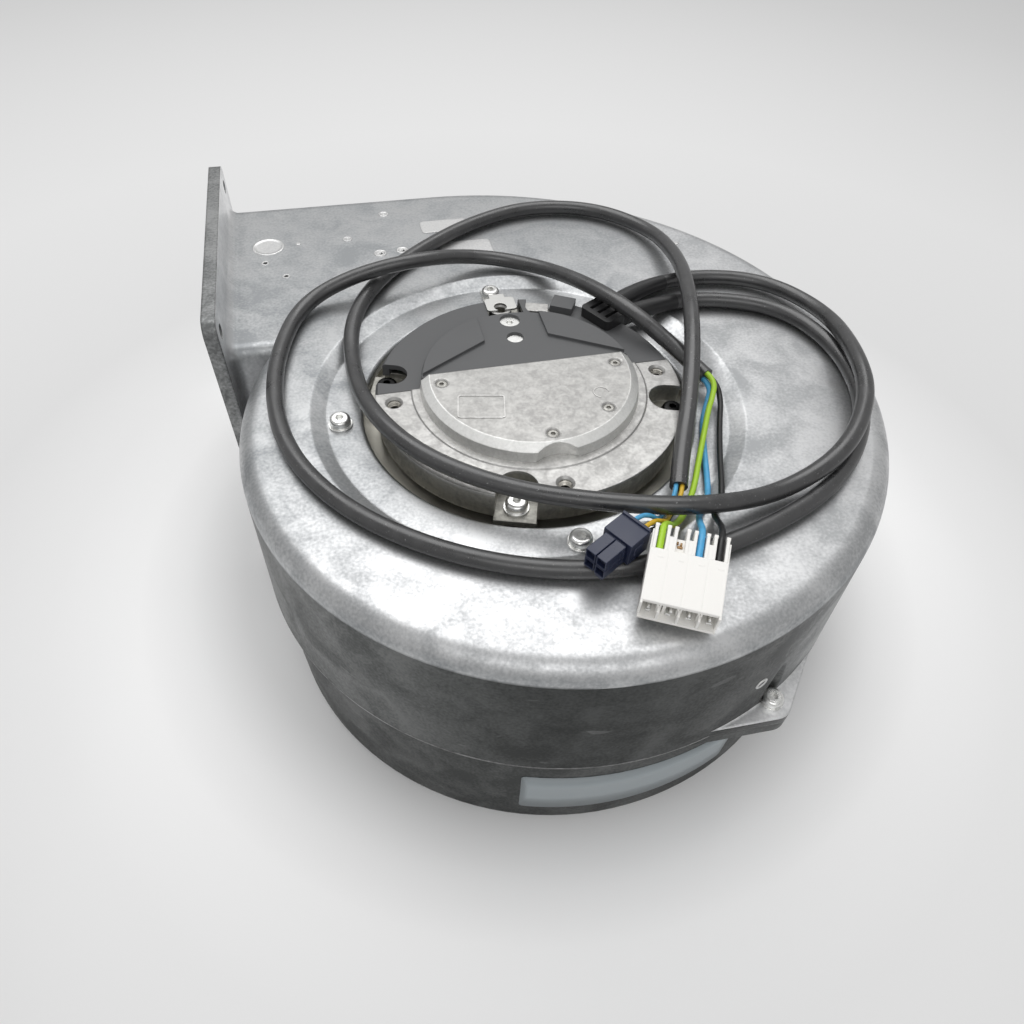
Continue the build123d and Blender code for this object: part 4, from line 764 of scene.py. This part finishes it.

# Rubber feet of the motor, with zinc-plated screws and washers. The screws and washers of the feet
# # that sit deep in their notches are painted black, as painted shade of the notches.
foot_rubber = moulded("foot_rubber", (0.02, 0.02, 0.02), 0.6)
dress(foot_rubber, "damping_grommets")
zinc_bright = (0.85, 0.85, 0.83)
foot_steel = metal("foot_steel", zinc_bright, 0.27, 160)
# Behind the front foot the screws and washers are painted black: painted shade of their deep
# notches.
front_foot_outside_painted_shade = spread(foot_steel, read_place(foot_steel, "Object")["Y"], 1, 0, -0.035, -0.03)
link(foot_steel, tint(foot_steel, front_foot_outside_painted_shade, [(0.02, 0.02, 0.02), zinc_bright]), "Base Color")
dress(foot_steel, "foot_screws", "foot_washers")

# Upper half of the casing: the same casting, with bright faces on its flange. Its top and rim carry
# painted light,
# # brightest to the front and right, and its front wall is painted dark as shade.


def front_painted_shade(finish):
    """The front of the wall, painted darkest as shade."""
    front = spread(finish, read_place(finish, "Normal")["Y"], 1, 0, -0.98, -0.75)
    scroll = spread(finish, read_place(finish, "Object")["Y"], 1, 0, -0.06, -0.03)
    share = combine(finish, "MULTIPLY", front, scroll)
    return share, (0.028, 0.03, 0.029), (0.052, 0.055, 0.054)


def painted_lit_duct_wall(finish):
    """The front wall of the outlet duct behind the flange, painted pale as lit instead of with the
    front wall's painted shade.
    """
    front = spread(finish, read_place(finish, "Normal")["Y"], 1, 0, -0.7, -0.4)
    duct = spread(finish, read_place(finish, "Object")["Y"], 0, 1, 0.03, 0.035)
    return combine(finish, "MULTIPLY", front, duct), (0.34, 0.35, 0.36), (0.5, 0.51, 0.52)


def painted_light_top(finish):
    """What faces up, and partly the right side, painted paler as lit."""
    top = spread(finish, read_place(finish, "Normal")["Z"], 0, 1, 0.06, 0.16)
    side = spread(finish, read_place(finish, "Object")["X"], 0, 0.55, 0.05, 0.1)
    return combine(finish, "MAXIMUM", top, side), (0.33, 0.342, 0.352), (0.55, 0.558, 0.562)


def painted_highlight_top(finish):
    """The front and the right of the top, and its rounded rim, painted brighter as highlight."""
    place = read_place(finish, "Object")
    rise = read_place(finish, "Normal")["Z"]
    front = spread(finish, place["Y"], 1, 0, -0.085, -0.03)
    right = spread(finish, place["X"], 0, 1, 0.05, 0.1)
    reach = combine(finish, "MAXIMUM", front, right)
    share = combine(finish, "MULTIPLY", reach, spread(finish, rise, 0, 1, 0.4, 0.6))
    return share, (0.44, 0.448, 0.455), (0.7, 0.705, 0.71)


def lug_top(finish):
    """Tops of the low lugs, paler than the walls."""
    low = spread(finish, read_place(finish, "Object")["Z"], 1, 0, 0.07, 0.076)
    top = spread(finish, read_place(finish, "Normal")["Z"], 0, 1, 0.4, 0.7)
    return combine(finish, "MULTIPLY", low, top), machined_dark, machined_pale


# The dark base colours are painted shade of the walls. The layers add painted light on the top and
# rim, and keep the far walls, duct and flange paler.
cast_upper = die_cast(
    "cast_upper",
    (0.07, 0.074, 0.073),
    (0.14, 0.145, 0.143),
    0.42,
    edge=0.0014,
    layers=(
        far_wall,
        front_painted_shade,
        painted_lit_duct_wall,
        painted_light_top,
        painted_highlight_top,
        lug_top,
        flange_face,
        flange_edge,
    ),
)
dress(cast_upper, "motor_side_housing")
dress(zinc_steel, "housing_screws", "housing_washers")

# Marks of the die on the casting: the sharp lip of the joint line and the band below it,
# and on the top ejector pins as rings and shallow pockets, and two smooth cast pads.
cast_mark = die_cast("cast_mark", (0.6, 0.6, 0.6), (0.8, 0.8, 0.79), 0.4, 90)


def turned_mark(shape, centre, level, corners):
    """Spins a profile of radius and height above a level, in millimetres, round an upright axis."""
    spots = [
        shape.verts.new(((centre[0] + radius) * mm, centre[1] * mm, (level + height) * mm))
        for radius, height in corners
    ]
    edges = [shape.edges.new(pair) for pair in zip(spots, spots[1:])]
    bmesh.ops.spin(
        shape,
        geom=spots + edges,
        cent=(centre[0] * mm, centre[1] * mm, 0),
        axis=(0, 0, 1),
        angle=2 * math.pi,
        steps=32,
        use_merge=True,
    )


joint_start = (-0.012, 0.168)
joint_arcs = (
    ((-0.012, 0.009, 0), 45),
    ((-0.00776, 0.01324, 0), 45),
    ((0.00424, 0.01324, 0), 45),
    ((0.0106, 0.00688, 0), 45),
    ((0.0106, -0.00312, 0), 45),
    ((0.00919, -0.00453, 0), 45),
    ((0.01119, -0.00453, 0), 34),
)
band_casting = die_cast("band_casting", (0.12, 0.12, 0.12), (0.3, 0.3, 0.3), 0.42, 90)


def joint_ring(name, profile):
    """Sweeps a profile of reach and height in millimetres along the joint line of the scroll."""
    shape = bmesh.new()
    spots = [
        shape.verts.new((joint_start[0], joint_start[1] + out * mm, height * mm))
        for out, height in profile
    ]
    run = spots + [shape.edges.new(pair) for pair in zip(spots, spots[1:] + spots[:1])]
    for centre, sweep in joint_arcs:
        run = bmesh.ops.spin(
            shape,
            geom=run,
            cent=centre,
            axis=(0, 0, 1),
            angle=-math.radians(sweep),
            steps=40,
        )["geom_last"]
    add_piece(name, shape, band_casting, True)


joint_ring(
    "motor_side_housing_lip",
    ((0.9, 60.02), (1.31, 60.02), (1.32, 60.4), (1.31, 60.8), (0.9, 61.1)),
)
joint_ring(
    "inlet_side_housing_band",
    ((-1.2, 56.4), (-0.5, 56.6), (-0.4, 57.4), (-0.5, 58.2), (-1.2, 58.4)),
)

cast_top = 123.0
marks_shape = bmesh.new()
turned_mark(
    marks_shape,
    (-96.0, 126.9),
    cast_top,
    [(0, -0.1), (7.5, -0.1), (7.2, 0.2), (6.7, 0.28), (6.2, 0.1), (5.6, 0.04), (0, 0.04)],
)
for x, y, radius in (
    (-58.9, 127.8, 2.1),
    (-39.1, 148.8, 2.3),
    (-44.8, 112.5, 2.8),
    (-34.3, 113.4, 2.6),
):
    rim = [(0, -0.1), (radius + 0.4, -0.1), (radius, 0.3), (radius - 0.5, 0.3)]
    dish = [(radius - 0.9, 0.05), (0.5, 0.05), (0.3, 0.25), (0, 0.25)]
    turned_mark(marks_shape, (x, y), cast_top, rim + dish)
for x, y, radius in ((-82.1, 127.2, 1.3), (98.0, 96.9, 1.6)):
    stud = [(0, -0.1), (radius, -0.1), (radius - 0.3, 0.3), (0, 0.35)]
    turned_mark(marks_shape, (x, y), cast_top, stud)
pocket_spots = ((-97.7, 113.0), (-88.7, 100.4))
pocket = [(0, -0.1), (1.9, -0.1), (1.6, 0.15), (1.2, 0.15), (1.0, 0.02), (0, 0.02)]
for spot in pocket_spots:
    turned_mark(marks_shape, spot, cast_top, pocket)
for low, high in (((-22.6, 126.8), (0.6, 137.8)), ((-16.4, 101.6), (8.4, 116.6))):
    pad = bar(marks_shape, (*low, cast_top - 0.2), (*high, cast_top + 0.35), Matrix.Scale(mm, 4))
    upright = {
        edge
        for face in pad
        for edge in face.edges
        if abs(edge.verts[0].co.z - edge.verts[1].co.z) > 0.3 * mm
    }
    round_off(marks_shape, list(upright), 2.2 * mm, 5)
# A thin ring on the front wall, where the wall is painted darkest as shade.
wall_turn = math.radians(-70.3)
wall_out = Vector((math.cos(wall_turn), math.sin(wall_turn), 0))
wall_reach = 132.8 * mm
wall_spot = Vector((0.0106, 0.0069, 0.084)) + wall_reach * wall_out
ring_radius = 2.2 * mm
ring_section = bmesh.ops.create_circle(
    marks_shape,
    segments=8,
    radius=0.45 * mm,
    matrix=Matrix.Translation(wall_spot + Vector((0, 0, ring_radius)))
    @ Vector((0, 0, 1)).cross(wall_out).to_track_quat("Z", "Y").to_matrix().to_4x4(),
)["verts"]
section_edges = list({edge for spot in ring_section for edge in spot.link_edges})
bmesh.ops.spin(
    marks_shape,
    geom=ring_section + section_edges,
    cent=wall_spot,
    axis=wall_out,
    angle=2 * math.pi,
    steps=28,
    use_merge=True,
)
add_piece("motor_side_housing_marks", marks_shape, cast_mark)

# Dark discs in the small pockets and in two dimples: painted shade at their bottoms.
dimple_painted_shade = moulded("dimple_painted_shade", (0.03, 0.03, 0.03), 0.6)
dimples_shape = bmesh.new()
for spot in pocket_spots:
    turned_mark(dimples_shape, spot, cast_top, [(0, 0), (0.95, 0), (0.9, 0.04), (0, 0.04)])
for spot in ((-44.5, 112.2), (-34.0, 113.1)):
    turned_mark(dimples_shape, spot, cast_top, [(0, 0), (0.9, 0), (0.8, 0.09), (0, 0.09)])
add_piece("motor_side_housing_dimples", dimples_shape, dimple_painted_shade)

# Motor ring: cast, stood on the rubber feet and turned on its top, with three open threaded
# # holes and a low tab at the rear. Below their first turns the holes are lined dark, as painted
# shade of the deep bores.


def worn_wall(finish):
    """The outer wall of the ring, which was left dull."""
    share = spread(finish, read_place(finish, "Object")["Z"], 1, 0, 0.1262, 0.1266)
    return share, (0.32, 0.315, 0.29), (0.48, 0.47, 0.43)


ring_casting = die_cast(
    "ring_casting", (0.41, 0.405, 0.395), (0.54, 0.535, 0.52), 0.46, 240, layers=(worn_wall,)
)
dress(ring_casting, "motor_flange")


def on_circle(reach, degrees):
    """Place on a circle round the axis of the motor."""
    turn = math.radians(degrees)
    return reach * math.cos(turn), reach * math.sin(turn)


hole_reach = 52.3
hole_turns = (0, 180, 270)
thread_turns = 3
thread_steps = 60
thread_drop = 2.4 * mm
thread_shape = bmesh.new()
for turn in hole_turns:
    spot = Vector((*on_circle(hole_reach, turn), 0)) * mm
    crest = [
        thread_shape.verts.new(spot + Vector((radius, 0, height)))
        for radius, height in ((0.00245, 0.12625), (0.00198, 0.1259), (0.00245, 0.12555))
    ]
    rib = crest + [thread_shape.edges.new(pair) for pair in zip(crest, crest[1:] + crest[:1])]
    bmesh.ops.spin(
        thread_shape,
        geom=rib,
        cent=spot,
        axis=(0, 0, 1),
        dvec=(0, 0, -thread_drop / thread_steps),
        angle=2 * math.pi * thread_turns,
        steps=thread_steps,
    )
thread_skin = metal("thread_skin", (0.8, 0.77, 0.7), 0.28, 400, 0.7, 0.00004)
add_piece("motor_flange_threads", thread_shape, thread_skin)
# A dark lining in each hole below the thread: painted shade of the deep bore.
bore_painted_shade = moulded("bore_painted_shade", (0.035, 0.03, 0.025), 0.35)
bore_floor = 121.0
bore_shape = bmesh.new()
for turn in hole_turns:
    wall = [(2.38, 3.4), (2.36, 0), (0, 0)]
    turned_mark(bore_shape, on_circle(hole_reach, turn), bore_floor, wall)
add_piece("motor_flange_bores", bore_shape, bore_painted_shade, True)

tab_shape = bmesh.new()
tab_frame = Matrix.Rotation(math.radians(-17), 4, "Z") @ Matrix.Scale(mm, 4)
bar(tab_shape, (-5.3, 50.2, 124.5), (5.3, 56.2, 127.2), tab_frame)
round_off(tab_shape, tab_shape.edges[:], 0.3 * mm)
add_piece("motor_flange_tab", tab_shape, ring_casting)

# Bonding strap: thin tinned sheet, clamped under one screw of the pan, with its other end
# on the motor ring.
strap_zinc = metal("strap_zinc", (0.66, 0.66, 0.64), 0.4, 90)
dress(strap_zinc, "earth_strap")

# Circuit board: green laminate with its capacitors and terminals, on nylon spacers
# under the two covers.
board_green = moulded("board_green", (0.02, 0.12, 0.05), 0.4)
black_nylon = moulded("black_nylon", (0.02, 0.02, 0.02), 0.4)
dress(board_green, "circuit_board", "terminal_block")
dress(black_nylon, "capacitors")
dress(white_nylon, "board_spacers")

# Half-round cover of the electronics: cast aluminium, fixed with four small recessed screws.
# A low moulded frame and part of a ring stand on its face.


def painted_highlight_edge(finish):
    """The rounded edge of the cover, painted bright as highlight outside a radius."""
    tree = finish.node_tree
    place = tree.nodes.new("ShaderNodeTexCoord")
    flat = tree.nodes.new("ShaderNodeVectorMath")
    flat.operation = "MULTIPLY"
    flat.inputs[1].default_value = (1, 1, 0)
    reach = tree.nodes.new("ShaderNodeVectorMath")
    reach.operation = "LENGTH"
    tree.links.new(place.outputs["Object"], flat.inputs[0])
    tree.links.new(flat.outputs["Vector"], reach.inputs[0])
    share = spread(finish, reach.outputs["Value"], 0, 1, 0.0379, 0.0384)
    return share, (0.84, 0.84, 0.82), (0.98, 0.98, 0.96)


cover_casting = die_cast(
    "cover_casting", (0.4, 0.395, 0.385), (0.49, 0.485, 0.47), 0.48, 320, layers=(painted_highlight_edge,)
)
dress(cover_casting, "electronics_cover")
recessed_steel = metal("recessed_steel", (0.5, 0.49, 0.46), 0.45, 300, 0.7)
dress(recessed_steel, "cover_screws")
frame_turn = Matrix.Rotation(math.radians(-10.8), 4, "Z")
frame_place = Matrix.Translation((-0.0221, -0.01585, 0.1341)) @ frame_turn
frame_shape = bmesh.new()
bmesh.ops.create_grid(
    frame_shape,
    x_segments=1,
    y_segments=1,
    size=0.5,
    matrix=frame_place @ Matrix.Diagonal((0.0174, 0.0125, 1, 1)),
)
round_off(frame_shape, frame_shape.verts[:], 1.4 * mm, 5, "VERTICES")
panel = frame_shape.faces[:]
bmesh.ops.inset_region(frame_shape, faces=panel, thickness=0.55 * mm, use_boundary=True)
bmesh.ops.delete(frame_shape, geom=panel, context="FACES_ONLY")
raised = bmesh.ops.extrude_face_region(frame_shape, geom=frame_shape.faces[:])["geom"]
bmesh.ops.translate(
    frame_shape,
    verts=[part for part in raised if isinstance(part, bmesh.types.BMVert)],
    vec=(0, 0, 0.35 * mm),
)
arc_x, arc_y = 0.0232, -0.0164
arc_spots = [
    frame_shape.verts.new((arc_x + reach, arc_y, height))
    for reach, height in ((0.0026, 0.13415), (0.0027, 0.1344), (0.0031, 0.1344), (0.0032, 0.13415))
]
arc_line = arc_spots + [frame_shape.edges.new(pair) for pair in zip(arc_spots, arc_spots[1:])]
bmesh.ops.spin(
    frame_shape,
    geom=arc_line,
    cent=(arc_x, arc_y, 0),
    axis=(0, 0, 1),
    angle=math.radians(250),
    steps=24,
)
frame_casting = die_cast(
    "frame_casting", (0.52, 0.515, 0.5), (0.64, 0.635, 0.62), 0.44, 320, edge=0.00012
)
add_piece("electronics_cover_frame", frame_shape, frame_casting)
screw_reach = 34
screw_top = 133.0
dimple_shape = bmesh.new()
for turn in (0, 180, 270, 314):
    funnel = [(2.9, 1.22), (2.6, 1.22), (1.9, 0.5), (1.85, 0)]
    turned_mark(dimple_shape, on_circle(screw_reach, turn), screw_top, funnel)
add_piece("electronics_cover_dimples", dimple_shape, cover_casting, True)

# Terminal cover: moulded dark grey plastic over the other half of the ring, held by one
# bright screw.
grey_plastic = moulded("grey_plastic", (0.105, 0.107, 0.11), 0.46)
dress(grey_plastic, "terminal_cover")
dress(zinc_steel, "terminal_screw")

# Cable gland: black rubber block with a fan of ribs in the rim of the terminal cover,
# drawn out into a tapered sleeve round each cable.
gland_rubber = moulded("gland_rubber", (0.02, 0.02, 0.021), 0.34)
dress(gland_rubber, "cable_gland")
for name, route in (("signal", signal_cable_route), ("mains", mains_cable_route)):
    sleeve_run = [
        Vector(route[-1]),
        Vector(route[-2]),
        (Vector(route[-2]) + Vector(route[-3])) / 2,
    ]
    sleeve = lay_cord("cable_gland_sleeve_" + name, sleeve_run, cable_radius, gland_rubber)
    for point, swell in zip(sleeve.data.splines[0].points, (1.26, 1.18, 1.03)):
        point.radius = swell
    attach(sleeve, "housing")

# Floor, studio light and background: a pale matt floor under one wide softbox that stands
# behind the fan and leans over it, with a weak one in front and a grey room around.
floor_shape = bmesh.new()
bmesh.ops.create_grid(floor_shape, x_segments=1, y_segments=1, size=12)
floor_mesh = bpy.data.meshes.new("floor")
floor_shape.to_mesh(floor_mesh)
floor_shape.free()
floor = bpy.data.objects.new("floor", floor_mesh)
scene.collection.objects.link(floor)
floor_paint = new_finish("floor_paint", (0.84, 0.84, 0.84), 0, 0.9)
fix(floor_paint, "Specular IOR Level", 0)
fix(floor_paint, "Emission Color", (1, 1, 1, 1))
floor.data.materials.append(floor_paint)
floor_tree = floor_paint.node_tree
floor_place = floor_tree.nodes.new("ShaderNodeTexCoord")
from_fan = floor_tree.nodes.new("ShaderNodeVectorMath")
from_fan.operation = "DISTANCE"
from_fan.inputs[1].default_value = (0.015, 0.03, 0)
floor_tree.links.new(floor_place.outputs["Object"], from_fan.inputs[0])


def shade_stops(finish, source, stops):
    """Grey that follows the source through given pairs of place and brightness."""
    node = finish.node_tree.nodes.new("ShaderNodeValToRGB")
    marks = node.color_ramp.elements
    while len(marks) < len(stops):
        marks.new(0.5)
    for mark, (place, bright) in zip(marks, stops):
        mark.position = place
        mark.color = (bright, bright, bright, 1)
    finish.node_tree.links.new(source, node.inputs["Fac"])
    return node.outputs["Color"]


# The floor's grey is painted darker close to the fan and beyond half a metre, as painted shade.
painted_floor_falloff = shade_stops(
    floor_paint, from_fan.outputs["Value"], ((0.0, 0.76), (0.26, 0.775), (0.5, 0.81), (1.0, 0.73))
)
link(floor_paint, painted_floor_falloff, "Base Color")
# A ring round the fan glows to camera, mirror and transmission rays: painted light on the floor.
painted_glow_ring = shade_stops(
    floor_paint,
    from_fan.outputs["Value"],
    ((0.15, 0.04), (0.178, 0.19), (0.2, 0.22), (0.24, 0.1), (0.3, 0.0)),
)
floor_rays = floor_tree.nodes.new("ShaderNodeLightPath").outputs
mirrored = combine(
    floor_paint, "MAXIMUM", floor_rays["Is Camera Ray"], floor_rays["Is Glossy Ray"]
)
shown = combine(floor_paint, "MAXIMUM", mirrored, floor_rays["Is Transmission Ray"])
shown_ring = combine(floor_paint, "MULTIPLY", painted_glow_ring, shown)
link(floor_paint, shown_ring, "Emission Strength")

world = bpy.data.worlds.new("studio")
scene.world = world
world.use_nodes = True
world.node_tree.nodes["Background"].inputs["Color"].default_value = (0.5, 0.5, 0.5, 1)


def softbox(name, place, aim, width, depth, power):
    """Rectangular lamp that points at a spot."""
    lamp = bpy.data.lights.new(name, "AREA")
    lamp.shape = "RECTANGLE"
    lamp.size = width
    lamp.size_y = depth
    lamp.energy = power
    holder = bpy.data.objects.new(name, lamp)
    holder.location = place
    holder.rotation_euler = (Vector(aim) - Vector(place)).to_track_quat("-Z", "Y").to_euler()
    scene.collection.objects.link(holder)


softbox("leaning_light", (0, 0.62, 1.35), (0, 0, 0.05), 1.5, 1.1, 11)
softbox("front_light", (-0.1, -0.8, 0.9), (0, 0, 0.1), 0.9, 0.5, 2)

bpy.context.view_layer.update()
